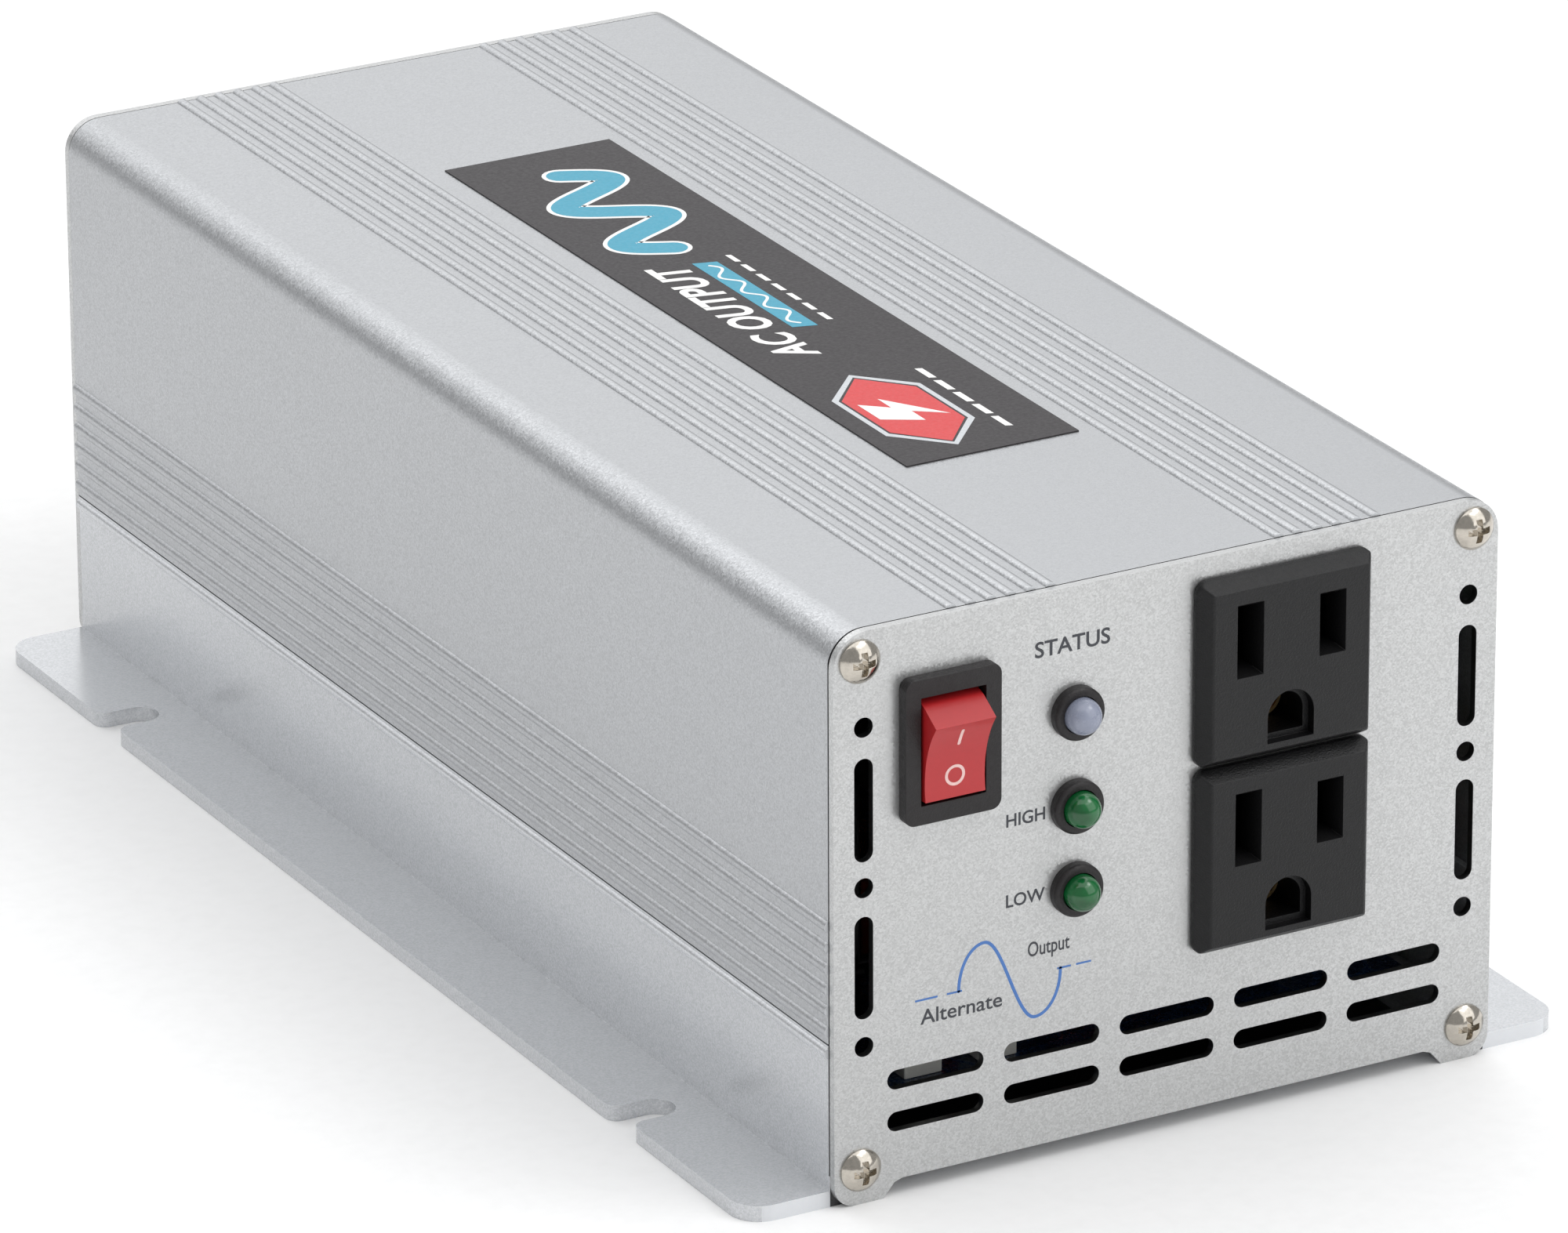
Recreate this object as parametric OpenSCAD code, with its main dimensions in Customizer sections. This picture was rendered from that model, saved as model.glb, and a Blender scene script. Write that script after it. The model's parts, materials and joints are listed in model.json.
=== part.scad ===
// Mains power inverter in a ribbed aluminium case: two outlets, a rocker switch and three
// indicator lamps in front, a fan and two stud terminals behind, and the electronics inside.
// +X is to the right seen from the front, +Y runs from the front to the back, +Z is up.
// The origin is under the middle of the whole part, on the plane that the feet stand on.

/* [Case] */
// Width of the body, without its flanges
body_w = 101.8; // [101.6:0.2:103]
// Height of the body from the feet to the flat of the lid
body_h = 81.5; // [81:0.1:84]
// Length over both end panels
case_len = 228.5; // [226:0.5:250]
// Width over both mounting flanges
flange_w = 127; // [124:0.5:132]
// Thickness of the extruded walls
wall = 1.8; // [1.6:0.1:1.8]
// Thickness of the end panels
panel_t = 1.2; // [1:0.1:1.8]
// Height of the seam between the lid and the chassis
seam_z = 23.3; // [22:0.1:23.5]

/* [Ribs] */
// Number of ribs in each group
rib_count = 6; // [3:1:6]
// Distance between neighbouring ribs
rib_pitch = 3.0; // [2.6:0.1:3]
// Height of a rib above the surface
rib_proud = 0.5; // [0.2:0.1:0.6]

/* [Mounting slots] */
// Width of each open slot in the flanges
slot_w = 5.6; // [5:0.2:6.4]
// Distance between the two slots of one flange
slot_spacing = 157; // [140:1:160]

/* [Switch] */
// Tilt of the rocker to each side of its middle
rocker_tilt = 13.8; // [8:0.2:14]

/* [Outlets] */
// Distance between the two flat blade slots
blade_spacing = 12.7; // [12.5:0.1:12.9]
// Distance from the blade slots down to the round of the ground hole
ground_drop = 11.9; // [11.7:0.1:12.1]

/* [Fan] */
// Outer size of the square fan frame
fan_size = 50; // [48:1:50]
// Number of fan blades
blade_count = 7; // [5:1:9]

/* [Terminals] */
// Radius of the terminal studs
stud_r = 3; // [2.5:0.5:3]
// Length of stud that stands out of the rear panel
stud_out = 17; // [16:0.5:20]

/* [Hidden] */
$fn = 48;
eps = 0.01;

// Switch: the rocker's ridges and pivot, before the pivot's place in the case is known
pivot_depth = 1.9;
ridge_out = 5.7;
ridge_half = 5.85;
rocker_out = ridge_out * cos(rocker_tilt) + ridge_half * sin(rocker_tilt) - pivot_depth;

// The ends of the case: the whole part, rocker to stud ends, is centred on the origin
front_y = -(case_len + stud_out - rocker_out) / 2;
rear_y = front_y + case_len;
case_y0 = front_y + panel_t;
case_y1 = rear_y - panel_t;
mid_y = (front_y + rear_y) / 2;

half_w = body_w / 2;
inner_half = half_w - wall;
corner_r = 5;

// Chassis
foot_h = 2.4;
flange_t = 2.3;
base_t = 2;
base_top = foot_h + base_t;
foot_inner = 43.4;
seam_gap = 0.12;
tongue_t = 1.2;
tongue_gap = 0.2;
tongue_rise = 4;
tongue_root = 5;
flange_corner_r = 4.5;
notch_flare_r = 2;
notch_x = flange_w / 2 - 5.2;

// The walls stop short of the end panels over their outer part, which leaves a fine dark line
end_gap = 0.25;
end_gap_depth = 1.2;

// Ribs: rounds whose centres lie a little under the surface
rib_r = 0.9;
rib_sink = rib_r - rib_proud;
top_rib_first = 17.4;
side_rib_first = seam_z + 1.85;
lip_z = seam_z - 1.3;

// Panel screws and their channels
screw_x = half_w - 4;
screw_z_low = 5;
screw_z_high = body_h - 4.1;
channel_r = 1.25;
channel_wall_r = 3.1;
m3_shank_r = 1.2;
m3_head_r = 3;
m3_head_h = 1.8;
m3_hole_r = 1.7;

// Panels
panel_w = body_w - 0.2;
panel_foot_r = 3.2;
vent_w = 2.8;
side_vent_x = 46.3;
side_slot_len = 14.6;
low_vent_len = 14.6;
low_vent_pitch = 17.75;
low_vent_z = [10.75, 16.8];
side_round_z = [22.6, 45.3, 68];
side_slot_z = [33.9, 56.3];

// Switch housing
switch_x = -33.8;
switch_z = 63.5;
bezel_w = 14.5;
bezel_h = 20.6;
bezel_r = 1.5;
bezel_out = 1.8;
switch_tab_z = 4.4;
switch_tab_out = 7;
switch_body_w = 12.8;
switch_body_h = 18.8;
switch_cut_w = 13.2;
switch_cut_h = 19.2;
switch_depth = 14;
rocker_w = 9;
aperture_w = 9.7;
aperture_h = 15.2;
rocker_room = 6.4;
trunnion_r = 1;
trunnion_gap = 0.05;

// Lamps
lamp_x = -14.4;
lamp_z = [63.7, 50.4, 38.5];
lamp_r = 2.5;
lamp_dome_out = 2;
lamp_bezel_r = 3.75;
lamp_bezel_out = 1.6;
lamp_barrel_r = 3.1;
lamp_barrel_len = 5;
lamp_hole_r = 3.3;

// Outlets
outlet_x = 16.9;
outlet_z = [65.2, 38.3];
outlet_w = 27;
outlet_h = 26.6;
outlet_r = 1.8;
outlet_out = 3;
outlet_bevel = 1.5;
outlet_edge = 0.8;
outlet_body = 23.4;
outlet_cut = 24;
outlet_depth = 19;
blade_z = 4.55;
neutral_len = 8.8;
hot_len = 7.3;
blade_slot_w = 2.4;
lead_in = 0.85;
lead_in_depth = 1.5;
ground_r = 2.75;
contact_depth = 15;

// Board
board_z = 9;
board_t = 1.6;
board_top = board_z + board_t;
board_half = 43.5;
board_y0 = front_y + 10;
board_y1 = front_y + 205;
standoff_r = 2.6;
standoff_x = 38;
standoff_y = [board_y0 + 20, mid_y - 20, board_y1 - 14];

// Power devices along the walls
spreader_x = 43.7;
spreader_t = 3.5;
spreader_z0 = channel_wall_r + screw_z_low + 0.2;
spreader_h = 28;
pad_t = inner_half - tongue_t - spreader_x - spreader_t;
fet_w = 10.2;
fet_pitch = 15;
fet_t = 4.5;
fet_tab_t = 1.3;
fet_z0 = board_top + 3;
fet_body_h = 9.2;
fet_h = 15.6;
fet_count = 4;
clamp_t = 1.6;
clamp_z = fet_z0 + 4.6;
left_fet_y = front_y + 136;
right_fet_y = front_y + 52;

// Wound parts and capacitors on the board
core_w = 34;
core_t = 14;
window_w = 6;
window_h = 24;
leg_w = 10;
core_z = board_top + 2.8 + core_w / 2;
coil_gap = 0.2;
transformer_y = front_y + 148;
transformer_x = [-16, 19];
choke_x = [-22, 12];
choke_y = front_y + 72;
choke_z = board_top + 6.3;
choke_in = 7.6;
choke_out = 13.4;
choke_half = 5;
wind_t = 1.1;
storage_r = 9;
storage_h = 35;
input_r = 6.5;
input_h = 25;
control_x = 28;
control_y0 = front_y + 88;
header_x = [-31, -19.5];
header_y = front_y + 14;
header_half = 2.9;
header_h = 7;

// Rear: fan and terminals
fan_x = -20;
fan_z = 46;
fan_t = 15;
fan_y1 = case_y1;
fan_y0 = fan_y1 - fan_t;
fan_hole_half = fan_size / 2 - 5;
fan_duct_r = fan_size / 2 - 1.2;
rotor_r = fan_duct_r - 0.7;
rotor_hub_r = 11;
fan_shaft_r = 1.5;
terminal_x = 28;
terminal_z_red = 60;
terminal_z_black = 34;
collar_r = 7.5;
collar_t = 4;
inner_collar_t = 3;
collar_neck_r = 4.6;
stud_fit = 0.05;
lug_t = 1.5;
washer_r = 6;
washer_t = 1.6;
nut_af = 10;
nut_t = 5;
ground_x = 38;
ground_z = 12;
ground_washer_t = 0.8;

// Label on the lid
label_x = 0.6;
label_w = 26.8;
label_y0 = front_y + 47.5;
label_len = 134;
label_t = 0.2;

// ---- Shapes that several sub-parts share ----

// Drawn in X and Z, and run along Y from y0 to y1
module along_y(y0, y1) {
    translate([0, y1, 0]) rotate([90, 0, 0]) linear_extrude(y1 - y0) children();
}

module rod_y(x, y0, y1, z, r) {
    translate([x, y0, z]) rotate([-90, 0, 0]) cylinder(h = y1 - y0, r = r);
}

module rounded_rect(w, h, r) {
    square([w, h - 2 * r], center = true);
    square([w - 2 * r, h], center = true);
    for (x = [-1, 1], z = [-1, 1]) translate([x * (w / 2 - r), z * (h / 2 - r)]) circle(r = r);
}

module slot_2d(len, w, upright = false) {
    rotate(upright ? 90 : 0) {
        square([len - w, w], center = true);
        for (s = [-1, 1]) translate([s * (len - w) / 2, 0]) circle(r = w / 2);
    }
}

module both_sides() {
    children();
    mirror([1, 0, 0]) children();
}

module block(x0, y0, z0, x1, y1, z1) {
    translate([x0, y0, z0]) cube([x1 - x0, y1 - y0, z1 - z0]);
}

// A round bar between two points
module bar(a, b, r) {
    d = b - a;
    flat = norm([d.x, d.y]);
    translate(a) rotate([0, atan2(flat, d.z), flat > 0 ? atan2(d.y, d.x) : 0])
        cylinder(h = norm(d), r = r);
}

// A wire through a list of points, with a round joint at each inner point
module wire(points, r) {
    for (i = [0:len(points) - 2]) bar(points[i], points[i + 1], r);
    for (i = [1:len(points) - 2]) translate(points[i]) sphere(r = r);
}

// Pan head screw along +Y: the head's underside is at y = 0 and its dome points to -Y
module pan_screw(head_r, head_h, shank_r, len) {
    dome_r = (head_r * head_r + head_h * head_h) / (2 * head_h) + 0.4;
    cross_l = head_r * 1.1;
    cross_w = head_r * 0.3;
    cross_end = -head_h * 0.2;
    difference() {
        intersection() {
            rod_y(0, -head_h, 0, 0, head_r);
            translate([0, dome_r - head_h, 0]) sphere(r = dome_r);
        }
        for (a = [0, 90]) rotate([0, a, 0])
            block(-cross_l / 2, -head_h - 1, -cross_w / 2, cross_l / 2, cross_end, cross_w / 2);
    }
    rod_y(0, -eps, len, 0, shank_r);
}

module hexagon_y(af, y0, y1) {
    along_y(y0, y1) circle(r = af / (2 * cos(30)), $fn = 6);
}

module at_panel_corners() {
    for (x = [-screw_x, screw_x], z = [screw_z_low, screw_z_high]) translate([x, 0, z]) children();
}

// ---- Case ----

module rib_row(n) {
    for (i = [0:n - 1]) translate([i * rib_pitch, 0]) circle(r = rib_r);
}

module shell_profile() {
    z0 = seam_z + seam_gap;
    top_in = body_h - wall;
    inner_r = corner_r - wall;
    difference() {
        union() {
            translate([-half_w, z0]) square([body_w, body_h - corner_r - z0]);
            translate([-half_w + corner_r, body_h - 2 * corner_r])
                square([body_w - 2 * corner_r, 2 * corner_r]);
            both_sides() {
                translate([half_w - corner_r, body_h - corner_r]) circle(r = corner_r);
                translate([top_rib_first, body_h - rib_sink]) rib_row(rib_count);
                translate([half_w - rib_sink, side_rib_first]) rotate(90) rib_row(rib_count);
            }
        }
        difference() {
            union() {
                translate([-inner_half, 0]) square([2 * inner_half, top_in - inner_r]);
                translate([-inner_half + inner_r, top_in - 2 * inner_r])
                    square([2 * (inner_half - inner_r), 2 * inner_r]);
                both_sides() translate([inner_half - inner_r, top_in - inner_r]) circle(r = inner_r);
            }
            both_sides() translate([screw_x, screw_z_high]) circle(r = channel_wall_r);
        }
        both_sides() translate([screw_x, screw_z_high]) circle(r = channel_r);
    }
}

// What is cut from the outer part of the walls at both ends of the case
module end_gaps() {
    r = corner_r - end_gap_depth;
    w = body_w - 2 * end_gap_depth;
    top = body_h - end_gap_depth;
    for (y = [case_y0 - end_gap, case_y1 - end_gap]) along_y(y, y + 2 * end_gap) difference() {
        translate([-half_w - 1, base_top]) square([body_w + 2, body_h]);
        translate([-w / 2, 0]) square([w, top - r]);
        translate([-w / 2 + r, top - 2 * r]) square([w - 2 * r, 2 * r]);
        both_sides() translate([w / 2 - r, top - r]) circle(r = r);
    }
}

module upper_shell() {
    color([0.75, 0.77, 0.78]) difference() {
        along_y(case_y0, case_y1) shell_profile();
        end_gaps();
    }
}

module chassis_half_profile() {
    translate([-1, foot_h]) square([inner_half + 2, base_t]);
    translate([inner_half, 0]) square([wall, seam_z - seam_gap]);
    translate([half_w - rib_sink, lip_z]) circle(r = rib_r);
    translate([inner_half - tongue_t, seam_z - tongue_root])
        square([tongue_t + eps, tongue_root - seam_gap]);
    translate([inner_half - tongue_t, seam_z - tongue_root])
        square([tongue_t - tongue_gap, tongue_root + tongue_rise]);
    polygon([[foot_inner, 0], [flange_w / 2, 0], [flange_w / 2, flange_t], [half_w, flange_t],
             [half_w, base_top], [foot_inner - 2.4, base_top], [foot_inner - 2.4, foot_h]]);
    translate([screw_x, screw_z_low]) circle(r = channel_wall_r);
}

module chassis_profile() {
    difference() {
        both_sides() chassis_half_profile();
        both_sides() translate([screw_x, screw_z_low]) circle(r = channel_r);
    }
}

// The open slot in the right flange, round inside and flared at its mouth
module notch_2d() {
    mouth = slot_w + 2 * notch_flare_r;
    edge_x = flange_w / 2;
    translate([notch_x, 0]) circle(r = slot_w / 2);
    translate([notch_x, -slot_w / 2]) square([edge_x - notch_x + 1, slot_w]);
    difference() {
        translate([edge_x - notch_flare_r, -mouth / 2]) square([notch_flare_r + 1, mouth]);
        for (s = [-1, 1]) translate([edge_x - notch_flare_r, s * mouth / 2]) circle(r = notch_flare_r);
    }
}

module flange_corner_2d() {
    c = flange_corner_r;
    difference() {
        translate([flange_w / 2 - c, -1]) square([c + 1, c + 1]);
        translate([flange_w / 2 - c, c]) circle(r = c);
    }
}

module lower_chassis() {
    cut_h = flange_t + 2;
    color([0.73, 0.75, 0.77]) difference() {
        along_y(case_y0, case_y1) chassis_profile();
        end_gaps();
        both_sides() {
            for (s = [-1, 1]) translate([0, mid_y + s * slot_spacing / 2, -1])
                linear_extrude(cut_h) notch_2d();
            translate([0, case_y0, -1]) linear_extrude(cut_h) flange_corner_2d();
            translate([0, case_y1, -1]) mirror([0, 1, 0]) linear_extrude(cut_h) flange_corner_2d();
        }
        for (x = [-standoff_x, standoff_x], y = standoff_y)
            translate([x, y, foot_h - 1]) cylinder(h = base_t + 2, r = channel_r);
    }
}

// Both end panels: round corners, and feet at the two lower corners
module panel_outline() {
    hw = panel_w / 2;
    difference() {
        union() {
            translate([-hw, panel_foot_r]) square([panel_w, body_h - corner_r - panel_foot_r]);
            translate([-hw + corner_r, body_h - 2 * corner_r])
                square([panel_w - 2 * corner_r, 2 * corner_r]);
            translate([-hw + panel_foot_r, 0]) square([panel_w - 2 * panel_foot_r, 2 * panel_foot_r]);
            both_sides() {
                translate([hw - corner_r, body_h - corner_r]) circle(r = corner_r);
                translate([hw - panel_foot_r, panel_foot_r]) circle(r = panel_foot_r);
            }
        }
        polygon([[-foot_inner, -1], [-foot_inner, 0], [-foot_inner + 1.7, 2], [-foot_inner + 2.9, foot_h],
                 [foot_inner - 2.9, foot_h], [foot_inner - 1.7, 2], [foot_inner, 0], [foot_inner, -1]]);
        for (x = [-screw_x, screw_x], z = [screw_z_low, screw_z_high])
            translate([x, z]) circle(r = m3_hole_r);
    }
}

module vents_2d() {
    both_sides() translate([side_vent_x, 0]) {
        for (z = side_round_z) translate([0, z]) circle(r = vent_w / 2);
        for (z = side_slot_z) translate([0, z]) slot_2d(side_slot_len, vent_w, true);
    }
    for (i = [-2:2], z = low_vent_z) translate([i * low_vent_pitch, z]) slot_2d(low_vent_len, vent_w);
}

module front_panel() {
    color([0.78, 0.79, 0.79]) along_y(front_y, case_y0) difference() {
        panel_outline();
        vents_2d();
        translate([switch_x, switch_z]) square([switch_cut_w, switch_cut_h], center = true);
        for (z = lamp_z) translate([lamp_x, z]) circle(r = lamp_hole_r);
        for (z = outlet_z) translate([outlet_x, z]) square(outlet_cut, center = true);
    }
}

// Finger guard: three punched rings, crossed by four bridges
module guard_2d() {
    ring_r = [8, 13.5, 19];
    ring_t = 3.2;
    difference() {
        for (r = ring_r) difference() {
            circle(r = r + ring_t);
            circle(r = r);
        }
        for (a = [45, 135]) rotate(a) square([fan_size, 3], center = true);
    }
}

module fan_hole_places() {
    for (x = [-1, 1], z = [-1, 1])
        translate([fan_x + x * fan_hole_half, 0, fan_z + z * fan_hole_half]) children();
}

module rear_panel() {
    color([0.78, 0.79, 0.79]) along_y(case_y1, rear_y) difference() {
        panel_outline();
        translate([fan_x, fan_z]) guard_2d();
        for (x = [-1, 1], z = [-1, 1])
            translate([fan_x + x * fan_hole_half, fan_z + z * fan_hole_half]) circle(r = 2.25);
        for (z = [terminal_z_red, terminal_z_black])
            translate([terminal_x, z]) circle(r = collar_neck_r + 0.3);
        translate([ground_x, ground_z]) circle(r = 2.2);
    }
}

module front_panel_screws() {
    color([0.85, 0.82, 0.76]) translate([0, front_y, 0]) at_panel_corners()
        pan_screw(m3_head_r, m3_head_h, m3_shank_r, 9);
}

module rear_panel_screws() {
    color([0.85, 0.82, 0.76]) translate([0, rear_y, 0]) mirror([0, 1, 0]) at_panel_corners()
        pan_screw(m3_head_r, m3_head_h, m3_shank_r, 9);
}

module top_label() {
    color([0.2, 0.19, 0.2]) translate([label_x, label_y0, body_h])
        block(-label_w / 2, 0, 0, label_w / 2, label_len, label_t);
}

// ---- Switch ----

module switch_housing() {
    pivot_y = front_y + pivot_depth;
    body_end = front_y + switch_depth;
    color([0.13, 0.13, 0.14]) difference() {
        translate([switch_x, 0, switch_z]) {
            along_y(front_y - bezel_out, front_y) rounded_rect(bezel_w, bezel_h, bezel_r);
            along_y(front_y - eps, body_end) square([switch_body_w, switch_body_h], center = true);
        }
        translate([switch_x, 0, switch_z]) {
            along_y(front_y - bezel_out - 1, front_y + rocker_room)
                square([aperture_w, aperture_h], center = true);
            translate([-(rocker_w / 2 + 1), pivot_y, 0]) rotate([0, 90, 0])
                cylinder(h = rocker_w + 2, r = trunnion_r + trunnion_gap);
            for (z = [-switch_tab_z, switch_tab_z])
                block(-2.5, front_y + rocker_room + 2, z - 0.5, 2.5, body_end + 1, z + 0.5);
        }
    }
}

// Side outline of the rocker with Y across and Z up, about the pivot, in its middle position
module rocker_2d() {
    hollow = 1.2;
    hollow_r = (ridge_half * ridge_half + hollow * hollow) / (2 * hollow);
    skirt = [[-2.09, 7], [0, 7.25], [2.2, 6.6]];
    difference() {
        polygon(concat([[-ridge_out, -ridge_half], [-ridge_out, ridge_half]], skirt,
                       [for (i = [2:-1:0]) [skirt[i].x, -skirt[i].y]]));
        translate([-ridge_out + hollow - hollow_r, 0]) circle(r = hollow_r, $fn = 96);
    }
}

module switch_rocker() {
    color([0.82, 0.16, 0.16])
        translate([switch_x, front_y + pivot_depth, switch_z]) rotate([rocker_tilt, 0, 0]) {
            translate([-rocker_w / 2, 0, 0]) rotate([90, 0, 90]) linear_extrude(rocker_w) rocker_2d();
            translate([-rocker_w / 2 - 0.8, 0, 0]) rotate([0, 90, 0])
                cylinder(h = rocker_w + 1.6, r = trunnion_r);
        }
}

module switch_terminals() {
    y0 = front_y + rocker_room + 2;
    y1 = front_y + switch_depth + switch_tab_out;
    color([0.78, 0.64, 0.36]) for (z = [-switch_tab_z, switch_tab_z])
        translate([switch_x, 0, switch_z + z]) block(-2.4, y0, -0.4, 2.4, y1, 0.4);
}

// ---- Indicator lamps ----

module led_bezels() {
    color([0.12, 0.12, 0.13]) for (z = lamp_z) translate([lamp_x, 0, z]) difference() {
        union() {
            rod_y(0, front_y - lamp_bezel_out + 0.6, front_y, 0, lamp_bezel_r);
            rod_y(0, front_y - lamp_bezel_out, front_y, 0, lamp_bezel_r - 0.6);
            translate([0, front_y - lamp_bezel_out + 0.6, 0]) rotate([90, 0, 0]) rotate_extrude()
                translate([lamp_bezel_r - 0.6, 0]) circle(r = 0.6);
            rod_y(0, front_y, front_y + lamp_barrel_len, 0, lamp_barrel_r);
        }
        rod_y(0, front_y - lamp_bezel_out - 1, front_y + lamp_barrel_len + 1, 0, lamp_r + 0.15);
    }
}

module lamp(z) {
    base_y = front_y + lamp_barrel_len + 0.2;
    translate([lamp_x, 0, z]) {
        translate([0, front_y - lamp_dome_out, 0]) sphere(r = lamp_r);
        rod_y(0, front_y - lamp_dome_out, base_y + 0.5, 0, lamp_r);
        rod_y(0, base_y, base_y + 1, 0, lamp_r + 0.4);
        for (x = [-1.27, 1.27]) rod_y(x, base_y, base_y + 4, 0, 0.3);
    }
}

module led_power() {
    color([0.72, 0.72, 0.82]) lamp(lamp_z[0]);
}

module led_upper_status() {
    color([0.1, 0.45, 0.2]) lamp(lamp_z[1]);
}

module led_lower_status() {
    color([0.1, 0.45, 0.2]) lamp(lamp_z[2]);
}

// ---- Outlets ----

// A slot that narrows towards its inner end, made where two tapered prisms cross
module funnel(w, h) {
    d = lead_in_depth;
    g = lead_in;
    intersection() {
        translate([0, 0, -h]) linear_extrude(2 * h)
            polygon([[-w / 2 - g, 0], [w / 2 + g, 0], [w / 2, d], [-w / 2, d]]);
        translate([-w, 0, 0]) rotate([90, 0, 90]) linear_extrude(2 * w)
            polygon([[0, -h / 2 - g], [d, -h / 2], [d, h / 2], [0, h / 2 + g]]);
    }
}

module ground_2d(r) {
    circle(r = r);
    translate([-r, -r]) square([2 * r, r]);
}

// Places on an outlet's face, about its centre: neutral blade, hot blade, ground hole
function neutral_at() = [-blade_spacing / 2, blade_z];
function hot_at() = [blade_spacing / 2, blade_z];
function ground_at() = [0, blade_z - ground_drop];

module outlet_body_at(z) {
    face_y = front_y - outlet_out;
    back_y = front_y + outlet_depth;
    translate([outlet_x, 0, z]) difference() {
        union() {
            intersection() {
                along_y(face_y, front_y) rounded_rect(outlet_w, outlet_h, outlet_r);
                translate([0, face_y, -outlet_h]) linear_extrude(2 * outlet_h)
                    polygon([[-outlet_w / 2 + outlet_bevel, 0], [outlet_w / 2 - outlet_bevel, 0],
                             [outlet_w / 2, outlet_out - outlet_edge], [outlet_w / 2, outlet_out],
                             [-outlet_w / 2, outlet_out], [-outlet_w / 2, outlet_out - outlet_edge]]);
                translate([-outlet_w, face_y, 0]) rotate([90, 0, 90]) linear_extrude(2 * outlet_w)
                    polygon([[0, -outlet_h / 2 + outlet_bevel], [outlet_out - outlet_edge, -outlet_h / 2],
                             [outlet_out, -outlet_h / 2], [outlet_out, outlet_h / 2],
                             [outlet_out - outlet_edge, outlet_h / 2], [0, outlet_h / 2 - outlet_bevel]]);
            }
            along_y(front_y - eps, back_y) square(outlet_body, center = true);
        }
        for (slot = [[neutral_at(), neutral_len], [hot_at(), hot_len]])
            translate([slot[0].x, 0, slot[0].y]) {
                translate([0, face_y - eps, 0]) funnel(blade_slot_w, slot[1]);
                along_y(face_y, front_y + 1) square([blade_slot_w, slot[1]], center = true);
                along_y(front_y + 1, front_y + contact_depth + 1) square([5.4, slot[1] + 1], center = true);
            }
        translate([ground_at().x, 0, ground_at().y]) {
            along_y(face_y - 1, face_y + lead_in_depth) ground_2d(ground_r + lead_in * 0.95);
            along_y(face_y, front_y + contact_depth + 1) ground_2d(ground_r);
        }
        for (p = [neutral_at(), hot_at(), ground_at()])
            translate([p.x, 0, p.y]) along_y(front_y + contact_depth, back_y + 1)
                square([3.4, 1.2], center = true);
    }
}

module outlet_upper() {
    color([0.2, 0.2, 0.21]) outlet_body_at(outlet_z[0]);
}

module outlet_lower() {
    color([0.2, 0.2, 0.21]) outlet_body_at(outlet_z[1]);
}

// Spring leaves for the blades, a sleeve for the ground pin, and a solder tail on each
module outlet_contacts_at(z) {
    y0 = front_y + 4;
    y1 = front_y + contact_depth + 0.8;
    tail_y = front_y + outlet_depth + 5;
    translate([outlet_x, 0, z]) {
        for (p = [neutral_at(), hot_at()]) translate([p.x, 0, p.y]) {
            for (s = [-1, 1]) block(s * 1.5 - 0.4, y0, -3, s * 1.5 + 0.4, y1, 3);
            block(-1.9, y1 - 0.8, -3, 1.9, y1, 3);
            block(-1.5, y1 - eps, -0.4, 1.5, tail_y, 0.4);
        }
        translate([ground_at().x, 0, ground_at().y]) {
            difference() {
                rod_y(0, y0, y1, 0, ground_r - 0.05);
                rod_y(0, y0 - 1, y1 - 0.8, 0, ground_r - 0.5);
            }
            block(-1.5, y1 - eps, -0.4, 1.5, tail_y, 0.4);
        }
    }
}

module outlet_upper_contacts() {
    color([0.8, 0.66, 0.35]) outlet_contacts_at(outlet_z[0]);
}

module outlet_lower_contacts() {
    color([0.8, 0.66, 0.35]) outlet_contacts_at(outlet_z[1]);
}

// ---- Board and what holds it ----

module at_standoffs() {
    for (x = [-standoff_x, standoff_x], y = standoff_y) translate([x, y, 0]) children();
}

module main_board() {
    color([0.06, 0.12, 0.26]) difference() {
        block(-board_half, board_y0, board_z, board_half, board_y1, board_top);
        at_standoffs() translate([0, 0, board_z - 1]) cylinder(h = board_t + 2, r = m3_hole_r);
    }
}

module board_standoffs() {
    color([0.8, 0.68, 0.4]) at_standoffs() difference() {
        translate([0, 0, base_top]) cylinder(h = board_z - base_top, r = standoff_r);
        translate([0, 0, base_top - 1]) cylinder(h = board_z - base_top + 2, r = channel_r);
    }
}

module board_screws() {
    color([0.8, 0.8, 0.78]) at_standoffs() translate([0, 0, board_top]) rotate([-90, 0, 0])
        pan_screw(m3_head_r - 0.3, 2, m3_shank_r, board_top - foot_h - 0.4);
}

module insulating_sheet() {
    half = board_half - 2;
    color([0.08, 0.08, 0.09]) difference() {
        block(-half, case_y0 + 1, base_top, half, case_y1 - 1, base_top + 0.4);
        at_standoffs() cylinder(h = board_z, r = standoff_r + 0.4);
    }
}

// ---- Power devices ----

// A row of power devices starts at y0; side is -1 on the left wall and 1 on the right
module fet_places(side, y0) {
    for (i = [0:fet_count - 1]) translate([side * spreader_x, y0 + i * fet_pitch, 0]) children();
}

module spreader(side, y0) {
    len = fet_count * fet_pitch + 4;
    x0 = side > 0 ? spreader_x : -spreader_x - spreader_t;
    block(x0, y0 - fet_pitch / 2 - 2, spreader_z0, x0 + spreader_t, y0 - fet_pitch / 2 - 2 + len,
          spreader_z0 + spreader_h);
}

module heat_spreader_left() {
    color([0.72, 0.73, 0.74]) difference() {
        spreader(-1, left_fet_y);
        clamp_holes(-1, left_fet_y);
    }
}

module heat_spreader_right() {
    color([0.72, 0.73, 0.74]) difference() {
        spreader(1, right_fet_y);
        clamp_holes(1, right_fet_y);
    }
}

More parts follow.
